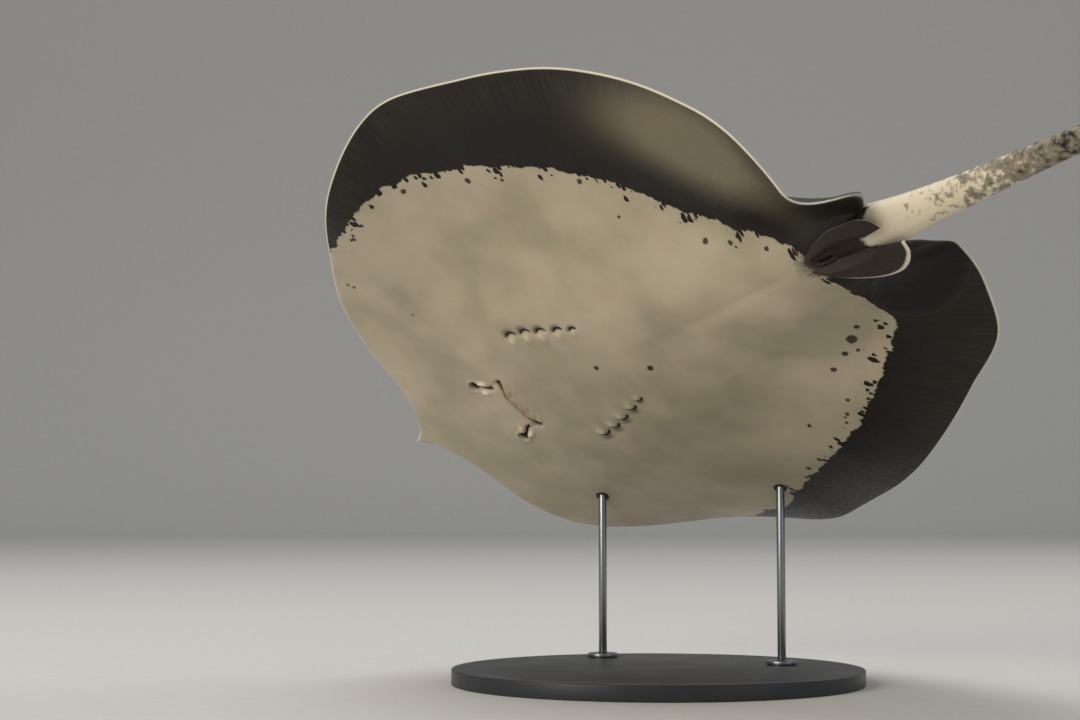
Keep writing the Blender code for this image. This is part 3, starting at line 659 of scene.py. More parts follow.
def tail_path():
    """Points down the middle of the tail, and its run there, at even steps from BODY_END to its tip."""
    steps = np.linspace(0, 1, TAIL_STEPS + 1)
    station = BODY_END / DISC - ARCH_AFT
    slope = math.atan(2 * ARCH_SQUARE * station + 3 * ARCH_CUBE * station**2)
    sink = slope * np.exp(-steps * TAIL_LENGTH / TAIL_TAPER) + TAIL_SINK * fade((steps + 0.1) / 1.1)
    turn = TAIL_TURN * fade((steps - 0.15) / 0.65)
    run = np.stack([np.cos(sink) * np.cos(turn), np.cos(sink) * np.sin(turn), np.sin(sink)], -1)
    start = swim(np.array(BODY_END), np.array(0.0))
    middles = (run[1:] + run[:-1]) / 2 * TAIL_LENGTH / TAIL_STEPS
    return np.concatenate([[start], start + np.cumsum(middles, axis=0)]), run


TAIL_MIDDLE, TAIL_RUN = tail_path()


def tail_width(down):
    """Half the width of the tail at this distance down it."""
    root = OUTLINE[-1][1] * DISC - TAIL_WHIP - TAIL_TIP
    return TAIL_TIP + TAIL_WHIP * (1 - down / TAIL_LENGTH) + root * np.exp(-down / TAIL_TAPER)


def tail_frame(down):
    """Middle, run, right and up of the tail at these distances down it."""
    place = down / TAIL_LENGTH * (len(TAIL_MIDDLE) - 1)
    numbers = range(len(TAIL_MIDDLE))
    middle, run = (
        np.stack([np.interp(place, numbers, track[:, axis]) for axis in range(3)], -1)
        for track in (TAIL_MIDDLE, TAIL_RUN)
    )
    right = np.cross(run, (0, 0, -1))
    right /= np.linalg.norm(right, axis=-1, keepdims=True)
    return middle, run, right, np.cross(right, -run)


def tail_skin(down, reach, under, lift=0.0):
    """Places on the skin of the tail, which starts as the slanted end of the disc."""
    middle, run, right, up = tail_frame(down)
    width = tail_width(down)
    slant = (OUTLINE[-1][0] * DISC - BODY_END) * np.maximum(1 - down / (0.1 * DISC), 0)
    rounded = rounded_rim(np.abs(reach), rim_share(width))
    shape = np.where(under, BELLY[-1][1], BACK[-1][1]) / OUTLINE[-1][1]
    height = np.minimum(EDGE, width / 3) * rounded + (shape * width - EDGE) * dome(reach)
    knots = KNOT_HIGH * unevenness(BODY_END + down, reach * 0.05, KNOT_SIZE, seed=9)
    knots = knots * fade(down / 0.1) * fade((1.4 - down) / 0.4)
    height = (height + (knots + lift) * dome(reach)) * np.where(under, -1, 1)
    slide = reach**2 * slant
    return hang(middle + (reach * width)[..., None] * right + height[..., None] * up + slide[..., None] * run)


def pelvic_skin(place, out, hand, under):
    """Places on a pelvic fin, from its root, sunk in the belly, to its margin, and their aft and side."""
    root, margin = (smooth_line(line, place) * DISC for line in (PELVIC_ROOT, PELVIC_MARGIN))
    margin = root + (margin - root) * PELVIC_SHARES[hand]
    aft, side = np.moveaxis(root * (1 - out[..., None]) + margin * out[..., None], -1, 0)
    belly = np.interp(aft / DISC, *np.transpose(BELLY)) * DISC
    sunk = PELVIC_SUNK * (1 - fade(out / 0.35)) + PELVIC_FRONT_SUNK * (1 - fade((place - 0.02) / 0.30))
    depth = belly * (1 - PELVIC_RISE * out**2) + PELVIC_THICKNESS / 2 - sunk
    half = (PELVIC_THICKNESS * (1 - out) + PELVIC_EDGE * out) / 2 * rounded_rim(out, PELVIC_RIM)
    rays = PELVIC_RAY_HIGH * np.sin(place * math.tau * PELVIC_RAYS) * fade(out / 0.3) * (1 - out)
    height = np.where(under, -depth - half - rays, half - depth)
    return hang(swum(aft, hand * side, height, lobes=0)), aft, hand * side


# Flat grid: one way runs round a section from the left margin over the back and home under the belly, the
# other along the body. Faces near the fine features are split before the grid is wrapped round the animal.
around, along = 4 * HALF_COLUMNS, SNOUT_CAP + DISC_FACES + TAIL_FACES + TAIL_CAP
bpy.ops.mesh.primitive_grid_add(x_subdivisions=around, y_subdivisions=along, size=1)
skin = bpy.context.object


def skin_grid(corners):
    """Reach, underside, row, distance down the tail and the shares into both caps, for points of the grid."""
    ring = (corners[:, 0] + 0.5) * 4
    course = (corners[:, 1] + 0.5) * along
    under = ring > 2
    signed = np.where(under, 3 - ring, ring - 1)
    row = np.clip((course - SNOUT_CAP) / DISC_FACES, 0, 1)
    down = np.clip((course - SNOUT_CAP - DISC_FACES) / TAIL_FACES, 0, 1) ** 1.15 * TAIL_LENGTH
    nose = np.clip(1 - course / SNOUT_CAP, 0, 1)
    tip = np.clip((course - along + TAIL_CAP) / TAIL_CAP, 0, 1)
    share = np.abs(signed)
    rim = rim_share(outline_at(row)[1])
    spread = np.clip(share / RIM_START, 0, 1)
    arc = np.clip((share - RIM_START) / (1 - RIM_START), 0, 1)
    evenly = (1 - rim) * (0.8 * spread + 0.2 * spread**2) + rim * np.sin(arc * math.pi / 2)
    turn = fade((row - 0.85) / 0.15)
    reach = (1 - turn) * evenly + turn * np.sin(share * math.pi / 2)
    return np.sign(signed) * reach, under, row, down, nose, tip


def read_mesh(items, what="co"):
    """Three numbers for each point or face of a mesh: its place or, for a face, its middle."""
    numbers = np.empty(len(items) * 3, np.float32)
    items.foreach_get(what, numbers)
    return numbers.reshape(-1, 3).astype(float)


# The faces in and round each fine feature are split three times, to about 4, 2 and 1 mm
SPLIT_MARGINS = (0.030, 0.012, 0.004)  # how far round the feature each time, past the sizes below
FINE_MOUTH, FINE_LIP, FINE_CORNER, FINE_CURTAIN, FINE_VENT = 0.014, 0.004, 0.006, 0.20 * DISC, 0.009
FINE_NOSTRIL, FINE_GILL, FINE_EYE, FINE_SPIRACLE = 0.024, 0.014, 0.013, 0.019


def fine_areas(aft, side, under, level):
    """Where the skin's faces are split at this level."""
    across = np.abs(side)
    margin = SPLIT_MARGINS[level]
    mouth = np.abs(aft - MOUTH_AFT - FINE_LIP) < FINE_MOUTH + margin
    mouth = mouth & (across < MOUTH_HALF + FINE_CORNER + margin)
    from_slit = np.hypot(aft - NOSTRIL_AFT - SLIT_AFT / 2, across - NOSTRIL_SIDE - SLIT_SIDE / 2)
    curtain = (aft > FINE_CURTAIN - margin) & (aft < MOUTH_AFT) & (across < CURTAIN_HALF + margin)
    vent = (np.abs(aft - VENT_AFT) < VENT_HALF + margin) & (across < FINE_VENT + margin)
    below = mouth | (from_slit < FINE_NOSTRIL + margin) | ((curtain | vent) & (level < 2))
    for gill_aft, gill_side, _ in GILLS:
        below |= np.hypot(aft - gill_aft * DISC, across - gill_side * DISC) < FINE_GILL + margin
    eyes = np.hypot(aft - EYE_AFT, across - EYE_SIDE) < FINE_EYE + margin
    spiracles = np.hypot(aft - SPIRACLE_AFT, (across - SPIRACLE_SIDE) * 1.3) < FINE_SPIRACLE + margin
    return np.where(under, below, eyes | spiracles)


for level in range(len(SPLIT_MARGINS)):
    reach, under, row, down, nose, tip = skin_grid(read_mesh(skin.data.polygons, "center"))
    aft, side = flat_point(row, np.abs(reach))
    chosen = fine_areas(aft, side, under, level) & (down == 0) & (nose == 0)
    for items in (skin.data.vertices, skin.data.edges):
        items.foreach_set("select", np.zeros(len(items), bool))
    skin.data.polygons.foreach_set("select", chosen)
    bpy.ops.object.mode_set(mode="EDIT")
    bpy.ops.mesh.select_mode(type="FACE")
    bpy.ops.mesh.subdivide(number_cuts=1)
    bpy.ops.object.mode_set(mode="OBJECT")


def close_end(places, share, end, way, length):
    """Draws the last rings of the skin in to one point and on by this length, as a rounded end."""
    turn = share[:, None] * math.pi / 2
    drawn = np.where(share[:, None] > 0, end + (places - end) * np.cos(turn), places)
    return drawn + way * length * np.sin(turn)


reach, under, row, down, nose, tip = skin_grid(read_mesh(skin.data.vertices))
on_tail = down > 0
places = disc_skin(row, reach, under)
places[on_tail] = tail_skin(down[on_tail], reach[on_tail], under[on_tail])
snout_end = hang(swum(np.array([-SNOUT_ROUND]), np.array([0.0]), np.array([SNOUT_RISE])))
places = close_end(places, nose, snout_end, hang_way([-1.0, 0, 0]), SNOUT_CLOSE)
tail_end, tail_run, _, _ = tail_frame(np.array([TAIL_LENGTH]))
places = close_end(places, tip, hang(tail_end), hang_way(tail_run), TIP_CLOSE)

# What the markings are painted by, kept at each point of the skin
aft, side = flat_point(row, np.abs(reach))
side = np.sign(reach) * side
aft = np.where(on_tail, BODY_END + down, aft - CAP_AHEAD * nose)
side = np.where(on_tail, reach * tail_width(down), side * (1 - CAP_IN * nose))


# Marks at each point that the paint follows: a fold this far off doesn't show, and nor does so narrow a band
MARKS = ("belly", "inward", "band", "row", "hollow_shade", "flap", "lip", "vent", "fold", "sheen", "down")
CLEAR, NO_BAND = 2.0, -0.1


def skin_marks(aft, side, row, reach, under, down):
    """Values that the paint follows: their names and their amounts at these places."""
    across = np.abs(reach)
    left = reach < 0
    inward = (1 - across) * outline_at(row)[1]
    inward = inward + np.where(left, *CORNER_THICK.values()) * fade((row - 0.93) / 0.04)
    inward = inward + np.where(left, 0.0, RIM_PALE)
    wide = np.where(left, *(np.interp(row, *np.transpose(band)) for band in BANDS.values())) * DISC
    _, pit_shade, flaps, lips = face_relief(aft, side)
    socket_shade = back_relief(aft, side, across)[1]
    belly = np.where(across > 0.9999, 0.5, np.where(under, 1.0, 0.0))
    round_tail = dome(across) * np.where(under, 0.5, -0.5) + 0.5
    on_tail = down > 0
    at_tail = on_tail | (row > 0.985)
    # painted shade round the vent, and under the root of the tail
    vent = hump(from_oval(aft, side, *VENT_SHADE_OVAL), 1.0)
    vent = np.where(at_tail, 1 - fade(down / 0.030), vent) * under
    fold = np.where(left, CLEAR, from_oval(aft, side, *FOLD))
    fold = np.where(under, fold, from_oval(aft, side, *CORNER))
    sheen = hump(row - SHEEN_ROW, SHEEN_ROWS) * hump(inward - SHEEN_IN, SHEEN_WIDE) * left
    return {
        "belly": np.where(at_tail, round_tail, belly),
        "inward": np.where(on_tail, 0.1, inward),
        "band": np.where(on_tail, NO_BAND, wide - inward),
        "row": row,
        "hollow_shade": np.where(on_tail, 0.0, np.where(under, pit_shade, socket_shade)),
        "flap": np.where(under & ~on_tail, flaps, 0.0),
        "lip": np.where(under & ~on_tail, lips, 0.0),
        "vent": vent,
        "fold": np.where(on_tail, CLEAR, fold),
        "sheen": np.where(on_tail, 0.0, sheen),
        "down": down,
    }


def set_marks(mesh, marks):
    """Keeps the marks' amounts at the points of a mesh, where the paint reads them."""
    for name, amounts in marks.items():
        layer = mesh.attributes.new(name, "FLOAT", "POINT")
        layer.data.foreach_set("value", np.asarray(amounts, np.float32))


def corner_points(mesh):
    """The number of the point at each corner of each face."""
    numbers = np.empty(len(mesh.loops), np.int32)
    mesh.loops.foreach_get("vertex_index", numbers)
    return numbers


def set_shape(mesh, points, maps):
    """Moves a mesh's points and gives it UV maps, from spots for its points or for its faces' corners."""
    mesh.vertices.foreach_set("co", points.astype(np.float32).ravel())
    while mesh.uv_layers:
        mesh.uv_layers.remove(mesh.uv_layers[0])
    for name, spots in maps.items():
        spots = spots if len(spots) == len(mesh.loops) else spots[corner_points(mesh)]
        mesh.uv_layers.new(name=name).data.foreach_set("uv", np.asarray(spots, np.float32).ravel())


def unwrap(aft, side, reach, under, down):
    """The skin opened flat: back on the left, belly on the right, and the tail in two strips above them."""
    u = np.where(under, 0.75, 0.25) + side * 0.5
    v = 0.06 + (aft + 0.02) * 0.80
    strip_u = 0.01 + 0.97 * down / TAIL_LENGTH
    strip_v = np.where(under, 0.935, 0.87) + (reach + 1) * 0.029
    tail = down > 0
    return np.stack([np.where(tail, strip_u, u), np.where(tail, strip_v, v)], -1)


set_marks(skin.data, skin_marks(aft, side, row, reach, under, down))
corners = corner_points(skin.data)
sizes = np.empty(len(skin.data.polygons), np.int32)
skin.data.polygons.foreach_get("loop_total", sizes)
middles = skin_grid(read_mesh(skin.data.polygons, "center"))
face_under, face_tail = (np.repeat(values, sizes) for values in (middles[1], middles[3] > 0))
corner_down = np.where(face_tail, np.maximum(down[corners], 1e-9), 0)
spots = unwrap(aft[corners], side[corners], reach[corners], face_under, corner_down)
set_shape(skin.data, places, {"flat": np.stack([side, aft], -1), "OFBake": spots})

# Pelvic fins: the same way, each from a grid of its own
pelvic_fins = []
PELVIC_ALONG, PELVIC_AROUND = 44, 64
PELVIC_FLAT = 0.85  # share of the grid's way out that comes before the rounded margin
PELVIC_START, PELVIC_RUN = 0.0015, 0.997  # the fin keeps off both ends of its lines
# For the paint of the pale rim: how far in each fin's root and its margin count as, left and right
PELVIC_INWARD = {-1: (0.072, 0.0016), 1: (0.028, 0.0)}
for number, hand in enumerate((-1, 1)):
    bpy.ops.mesh.primitive_grid_add(x_subdivisions=PELVIC_AROUND, y_subdivisions=PELVIC_ALONG, size=1)
    fin = bpy.context.object
    grid = read_mesh(fin.data.vertices) + 0.5
    out = 1 - np.abs(2 * grid[:, 0] - 1)
    rounding = 1 - PELVIC_RIM * (1 - np.sin((out - PELVIC_FLAT) / (1 - PELVIC_FLAT) * math.pi / 2))
    out = np.where(out > PELVIC_FLAT, rounding, out / PELVIC_FLAT * (1 - PELVIC_RIM))
    ends = PELVIC_START + PELVIC_RUN * grid[:, 1]
    points, fin_aft, fin_side = pelvic_skin(ends, out, hand, grid[:, 0] > 0.5)
    depth, least = PELVIC_INWARD[hand]
    from_margin = (1 - out) * depth + 0.004 * (1 - fade(ends / 0.3)) + least
    plain = np.ones(len(out))
    # the vent's painted shade covers each fin from near its front backwards
    set_marks(fin.data, {
        **{mark: plain * 0 for mark in MARKS}, "belly": plain, "band": plain * NO_BAND, "fold": plain * CLEAR,
        "inward": from_margin, "row": ends, "vent": fade(ends / 0.22),
    })
    patch = np.stack([0.01 + 0.10 * number + 0.09 * grid[:, 0], 0.005 + 0.045 * grid[:, 1]], -1)
    set_shape(fin.data, points, {"flat": np.stack([fin_side, fin_aft], -1), "OFBake": patch})
    pelvic_fins.append(fin)


def close_mesh(near):
    """Merges points of the active mesh this near each other, fills its holes and turns its faces out."""
    bpy.ops.object.mode_set(mode="EDIT")
    bpy.ops.mesh.select_mode(type="VERT")
    bpy.ops.mesh.select_all(action="SELECT")
    bpy.ops.mesh.remove_doubles(threshold=near)
    bpy.ops.mesh.select_all(action="DESELECT")
    bpy.ops.mesh.select_non_manifold()
    bpy.ops.mesh.fill_holes(sides=0)
    bpy.ops.mesh.select_all(action="SELECT")
    bpy.ops.mesh.normals_make_consistent(inside=False)
    bpy.ops.object.mode_set(mode="OBJECT")


join_to(skin, pelvic_fins)
close_mesh(near=0.00001)

# Resin-cast hide, airbrushed and sealed in satin varnish: cream underside with the fins' dark bands,
# grey-brown back, pale rim, tail mottled to black. Grain and fin rays are drawn coarser than life to show.
CREAM, CREAM_SHADE, CREAM_WARM = "#B9AD95", "#A0977F", "#B89F86"
BAND, BAND_RAY, BAND_WARM, BAND_SHEEN = "#1B1814", "#2C2822", "#231B15", "#958A6F"
SPOT, HOLLOW_SHADE, FLAP_HIGHLIGHT, LIP = "#15100C", "#0E0B09", "#E9DFC6", "#A98468"
VENT_SHADE, FOLD_SHADE, FOLD_LINE, RIM_AND_HIGHLIGHT = "#231913", "#0A0807", "#3A352F", "#E9E0C8"
BACK_BROWN, BACK_DARK, BACK_PALE, HORN = "#5C5448", "#50483D", "#655C50", "#A39A87"
TAIL_CREAM, TAIL_GREY, TAIL_BLACK = "#DCD0B6", "#6A6150", "#1A1714"
MARGIN_LONG = 1.5 * DISC  # about the length of the margin, snout to tail
RAY_SIZE, RAY_ZONE, RAY_FULL = 0.0038, 0.080, 0.006  # fin rays show this far in from the margin
SCALLOP_SIZE, SCALLOP_DEPTH, OVAL_SPACING = 0.026, 0.012, 0.0125  # along the dark band's inner edge
FRECKLES = [  # lone dark spots on the underside: aft and side in disc lengths, and radius in metres
    (0.393, -0.373, 0.0042), (0.487, -0.332, 0.0044), (0.534, -0.307, 0.0026), (0.297, -0.369, 0.0030),
    (0.265, -0.358, 0.0036), (0.172, -0.289, 0.0028), (0.166, -0.297, 0.0026), (0.219, -0.203, 0.0020),
    (0.631, -0.247, 0.0040), (0.645, -0.178, 0.0024), (0.739, -0.094, 0.0040), (0.771, -0.078, 0.0036),
    (0.813, -0.050, 0.0034), (0.449, -0.006, 0.0038), (0.525, 0.031, 0.0044), (0.627, 0.248, 0.0034),
    (0.735, 0.174, 0.0044), (0.767, 0.159, 0.0042), (0.785, 0.164, 0.0028), (0.791, 0.143, 0.0074),
    (0.812, 0.128, 0.0036), (0.714, 0.230, 0.0030), (0.693, 0.254, 0.0034), (0.680, 0.268, 0.0030),
]  # fmt: skip
PATTERNS = {  # size, detail and roughness of the clouding that breaks up each coat of paint
    "mottle": (0.11, 3.0, 0.5), "patch": (0.030, 4.0, 0.5), "speckle": (0.010, 4.0, 0.62),
    "fine": (0.006, 3.0, 0.5), "grain": (0.0035, 2.0, 0.5),
}  # fmt: skip


def share_of(material, value, none, full, most=1.0, within=None):
    """How much of a coat lies here: up to most as the value goes from none to full, within another share."""
    feeds = (value, none, full, 0.0, most)
    share = add_node(material, "MapRange", feeds, interpolation_type="SMOOTHSTEP")
    return share if within is None else add_node(material, "Math", (share, within), operation="MULTIPLY")


def coat(material, paint, colour, *where):
    """Lays a colour over the paint, by one share or by what share_of takes."""
    share = share_of(material, *where) if len(where) > 1 else where[0]
    return add_node(material, "Mix", (share, paint, colour), data_type="RGBA")


def paint_hide(name, roughness, lift):
    """The hide's markings on one material; lift pales them a little, as on worn tips."""
    hide, shader = new_material(name, roughness)

    def node(kind, feeds=(), **settings):
        return add_node(hide, kind, feeds, **settings)

    marks = {mark: node("Attribute", out="Fac", attribute_name=mark) for mark in MARKS}
    place = node("TexCoord", out="Object")
    flat = node("UVMap", uv_map="flat")
    mottle, patch, speckle, fine, grain = (
        node("TexNoise", (place, 1 / size, detail, rough)) for size, detail, rough in PATTERNS.values()
    )
    nibble = node("Math", (fine, 0.5), operation="SUBTRACT")

    def ragged(value, amount):
        """A value made uneven, so that what follows it has a ragged edge."""
        return node("Math", (nibble, amount, value), operation="MULTIPLY_ADD")

    def along_rays(stretch):
        """The margin's run as x and the way in from it as y, with y shortened this much."""
        run = node("Math", (marks["row"], MARGIN_LONG), operation="MULTIPLY")
        inwards = node("Math", (marks["inward"], stretch), operation="MULTIPLY")
        return node("CombineXYZ", (run, inwards, marks["belly"]))

    # rays: fine uneven lines that run out to the margin
    rays = node("TexNoise", (along_rays(0.05), 1 / RAY_SIZE, 2.0))
    rays = share_of(hide, rays, 0.36, 0.64, 1.0, share_of(hide, marks["inward"], RAY_ZONE, RAY_FULL))

    # cream underside, warmer and rosier here and there
    cream = coat(hide, CREAM, CREAM_SHADE, mottle, 0.30, 0.70)
    cream = coat(hide, cream, CREAM_WARM, patch, 0.50, 0.80, 0.40)
    cream = coat(hide, cream, CREAM_SHADE, fine, 0.58, 0.78, 0.30)

    # dark band: its inner edge runs in scallops, with rows of dark oval spots that merge into it
    scallops = node("TexNoise", (along_rays(0.5), 1 / SCALLOP_SIZE, 2.0))
    scallops = node("Math", (scallops, 0.5), operation="SUBTRACT")
    edge = node("Math", (marks["band"], 0.004), operation="SUBTRACT")
    edge = node("Math", (scallops, 1.6 * SCALLOP_DEPTH, edge), operation="MULTIPLY_ADD")
    edge = ragged(edge, 0.5 * SCALLOP_DEPTH)
    cells = {"Vector": along_rays(0.68), "Scale": 1 / OVAL_SPACING, "Randomness": 0.80}
    chance = node("TexVoronoi", cells, out="Color")
    from_middle = ragged(chance.node.outputs["Distance"], 0.35)
    chance = node("SeparateColor", (chance,)).node.outputs
    oval = node("Math", (chance[1], 0.18, 0.30), operation="MULTIPLY_ADD")
    oval = node("Math", (oval, from_middle), operation="SUBTRACT")
    limit = node("Math", (chance[0], 2.5), operation="POWER")
    limit = node("Math", (limit, -1.8 * SCALLOP_DEPTH, -0.002), operation="MULTIPLY_ADD")
    kept = node("Math", (marks["band"], limit), operation="GREATER_THAN")
    ovals = share_of(hide, oval, -0.03, 0.06, 1.0, kept)
    banded = node("Math", (share_of(hide, edge, -0.0012, 0.0014), ovals), operation="MAXIMUM")
    dark = coat(hide, BAND, BAND_RAY, node("Math", (rays, 0.9), operation="MULTIPLY"))
    dark = coat(hide, dark, BAND_WARM, mottle, 0.40, 0.70, 0.8)
    dark = coat(hide, dark, SPOT, edge, 3.0 * SCALLOP_DEPTH, 0.0, 0.85, ovals)
    # painted sheen: a pale highlight over the dark band on the left fin's rear
    bloom_and_sheen = share_of(hide, marks["sheen"], 0.05, 0.85, 0.62)
    dark = coat(hide, dark, BAND_SHEEN, edge, 0.004, 0.045, 1.0, bloom_and_sheen)
    under = coat(hide, cream, dark, banded)

    # lone freckles
    nearest = DISC  # further than any of them
    for aft, side, radius in FRECKLES:
        away = node("VectorMath", (flat, (side * DISC, aft * DISC, 0)), operation="DISTANCE")
        away = node("Math", (away, radius), operation="SUBTRACT")
        nearest = node("Math", (nearest, away), operation="MINIMUM")
    under = coat(hide, under, SPOT, ragged(nearest, 0.0045), 0.0010, -0.0010, 0.9)

    # face and vent: flaps painted pale as a highlight, tan lip, and painted shade round the vent and over the
    # pelvic fins
    under = coat(hide, under, LIP, node("Math", (marks["lip"], 0.55), operation="MULTIPLY"))
    # the raised nostril wings and gill flaps painted pale: a painted highlight where they stand up
    under = coat(hide, under, FLAP_HIGHLIGHT, marks["flap"], 0.10, 0.90, 0.85)
    stain_and_shade = share_of(hide, ragged(marks["vent"], 0.5), 0.20, 0.75)
    under = coat(hide, under, VENT_SHADE, node("Math", (stain_and_shade, 0.96), operation="MULTIPLY"))

    # rear inner corner of the right fin: painted shade, near black, with a faint paler line round it
    under = coat(hide, under, FOLD_SHADE, ragged(marks["fold"], 0.10), 1.06, 0.70, 0.7)
    line = share_of(hide, marks["fold"], 1.05, 1.01, 0.35)
    under = coat(hide, under, FOLD_LINE, marks["fold"], 0.97, 1.0, 1.0, line)

    # back: grey-brown, clouded with darker and paler patches
    back = coat(hide, BACK_BROWN, BACK_DARK, mottle, 0.34, 0.66)
    back = coat(hide, back, BACK_PALE, patch, 0.52, 0.72, 0.6)
    back = coat(hide, back, BACK_DARK, fine, 0.58, 0.74, 0.5)
    # painted shade in the band's dark colour over each fin's inner rear corner
    back = coat(hide, back, BAND, ragged(marks["fold"], 0.6), 1.30, 0.55, 0.85)

    # tail: cream on its underside and flanks, mottled with black from the root and all black past the sting
    flank = node("Math", (patch, 0.30, marks["belly"]), operation="MULTIPLY_ADD")
    tail = coat(hide, back, TAIL_CREAM, flank, 0.30, 0.46)
    speckle = node("Math", (speckle, 0.95), operation="MULTIPLY")
    sooty = node("Math", (marks["down"], 1.7, speckle), operation="MULTIPLY_ADD")
    tail = coat(hide, tail, TAIL_GREY, sooty, 0.70, 0.86, 0.8)
    tail = coat(hide, tail, TAIL_BLACK, sooty, 0.86, 1.12)
    # painted shade under the root of the tail, where it leaves the body
    tail = coat(hide, tail, VENT_SHADE, stain_and_shade)
    paint = coat(hide, back, under, marks["belly"], 0.35, 0.65)
    paint = coat(hide, paint, tail, marks["down"], 0.0, 0.010)

    # the margin's pale rim: the fins' own pale edge, made brighter with a painted highlight along the thin
    # margin; then the hollows
    paint = coat(hide, paint, RIM_AND_HIGHLIGHT, marks["inward"], 0.0026, 0.0011, 0.9)
    # painted shade in the hollows of the mouth, nostrils, gill slits and trough, vent, eye openings and
    # spiracles
    paint = coat(hide, paint, HOLLOW_SHADE, marks["hollow_shade"], 0.15, 0.85)

    # satin varnish over a fine grain
    varnish = (fine, 0.3, 0.7, roughness - 0.06, roughness + 0.08)
    grain = node("Math", (grain, 0.35), operation="MULTIPLY")
    relief = node("Math", (rays, 0.5, grain), operation="MULTIPLY_ADD")
    relief = node("Math", (patch, 0.9, relief), operation="MULTIPLY_ADD")
    feed(shader, {
        "Base Color": coat(hide, paint, HORN, lift),
        "Roughness": node("MapRange", varnish, interpolation_type="SMOOTHSTEP"),
        "Coat Weight": 0.06, "Coat Roughness": 0.30, "IOR": 1.34,
        "Normal": node("Bump", {"Height": relief, "Strength": 0.45, "Distance": 0.0008}),
    })
    return hide


hide = paint_hide("varnished_airbrushed_resin_hide", 0.48, 0.0)
skin.name = skin.data.name = "ray_skin"
skin.data.materials.clear()
skin.data.materials.append(hide)
bpy.ops.object.select_all(action="DESELECT")
skin.select_set(True)
bpy.ops.object.shade_smooth()
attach(skin, "root")
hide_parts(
    "head", "trunk", "pectoral_fin_left", "pectoral_fin_right", "pelvic_fin_left", "pelvic_fin_right",
    "tail_1", "tail_2", "tail_3", "tail_4",
)

# A rubber ring hides the joint where each rod enters the fin; its rim follows the slant of the belly's skin.
for end in ("front", "rear"):
    low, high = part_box(f"stand_rod_{end}")
    foot = Vector(((low.x + high.x) / 2, (low.y + high.y) / 2, low.z))
    _, entry, normal, _ = skin.ray_cast(foot, Vector((0, 0, 1)))
    ring_size = {"major_radius": (high.x - low.x) / 2 + RING_THICK * RING_FLAT, "minor_radius": RING_THICK}
    bpy.ops.mesh.primitive_torus_add(major_segments=40, minor_segments=14, **ring_size)
    ring = bpy.context.object
    for corner in ring.data.vertices:
        corner.co.z = corner.co.z * RING_FLAT - (normal.x * corner.co.x + normal.y * corner.co.y) / normal.z
        corner.co += entry
    settle(ring, f"stand_ring_{end}", rubber, smooth_angle=60)
    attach(ring, "root")


# ---------------------------------------------------------------------------------------------------------
# Denticles: horny, heart-shaped tubercles packed in a band down the back as far as the sting, six large ones
# on the midline, fine granules over the rest of the back and thorny prickles on the whip of the tail.
# ---------------------------------------------------------------------------------------------------------
BAND_START, BAND_SPACING, BAND_RADIUS, BAND_HIGH = 0.190 * DISC, 0.0037, 0.0021, 0.0014
BAND_HALF = [  # aft and half width, both in disc lengths
    (0.19, 0.020), (0.25, 0.050), (0.34, 0.062), (0.45, 0.085), (0.60, 0.066), (0.80, 0.040), (0.93, 0.030),
]  # fmt: skip
GRANULE_SPACING, GRANULE_RADIUS, GRANULE_HIGH = 0.0066, 0.0011, 0.0008
GRANULE_INWARD = 0.020  # the margin of the fins is smooth for this far
PRICKLE_SPACING, PRICKLE_RADIUS, PRICKLE_HIGH = 0.0060, 0.0010, 0.0013
LARGE_AFT, LARGE_STEP, LARGE_RADIUS, LARGE_HIGH = 0.405 * DISC, 0.0155, 0.0055, 0.0036
LARGE_SIZES = np.array([0.70, 0.92, 1.0, 1.0, 0.86, 0.66])  # share of the full size, from front to rear
LARGE_SIDES = np.array([0.0008, -0.0008, 0.0008, -0.0008, 0.0008, -0.0008])
BARE_ROUND_EYE, BARE_SPIRACLE = 0.0150, (SPIRACLE_AFT, SPIRACLE_SIDE, 0.0205, 0.0145)
BAKE_PATCH = 0.0012  # half the side of each denticle's patch on the unwrapped skin
FOOT_SUNK = 0.0002  # their feet are sunk in the skin


def find_rows(aft, side):
    """Row and reach of places on the flat disc, by halving, and whether each lies well inside the margin."""
    low, high = np.zeros_like(aft), np.ones_like(aft)
    for _ in range(32):
        row = (low + high) / 2
        short = flat_point(row, np.minimum(np.abs(side) / outline_at(row)[1], 1))[0] < aft
        low, high = np.where(short, row, low), np.where(short, high, row)
    reach = np.abs(side) / outline_at(row)[1]
    found = (reach < 0.99) & (np.abs(flat_point(row, reach)[0] - aft) < 0.0005)
    return row, np.sign(side) * np.minimum(reach, 1), found


def strewn(start, stop, half_side, spacing, seed):
    """Places in close-packed rows, each moved a little at random: aft and side."""
    draw = np.random.default_rng(seed)
    courses = np.arange(start, stop, spacing * 0.866)
    files = np.arange(-half_side, half_side, spacing)
    aft, side = np.meshgrid(courses, files, indexing="ij")
    side = side + (np.arange(len(courses)) % 2)[:, None] * spacing / 2
    aft = aft + draw.uniform(-0.30, 0.30, aft.shape) * spacing
    side = side + draw.uniform(-0.30, 0.30, side.shape) * spacing
    return aft.ravel(), side.ravel()


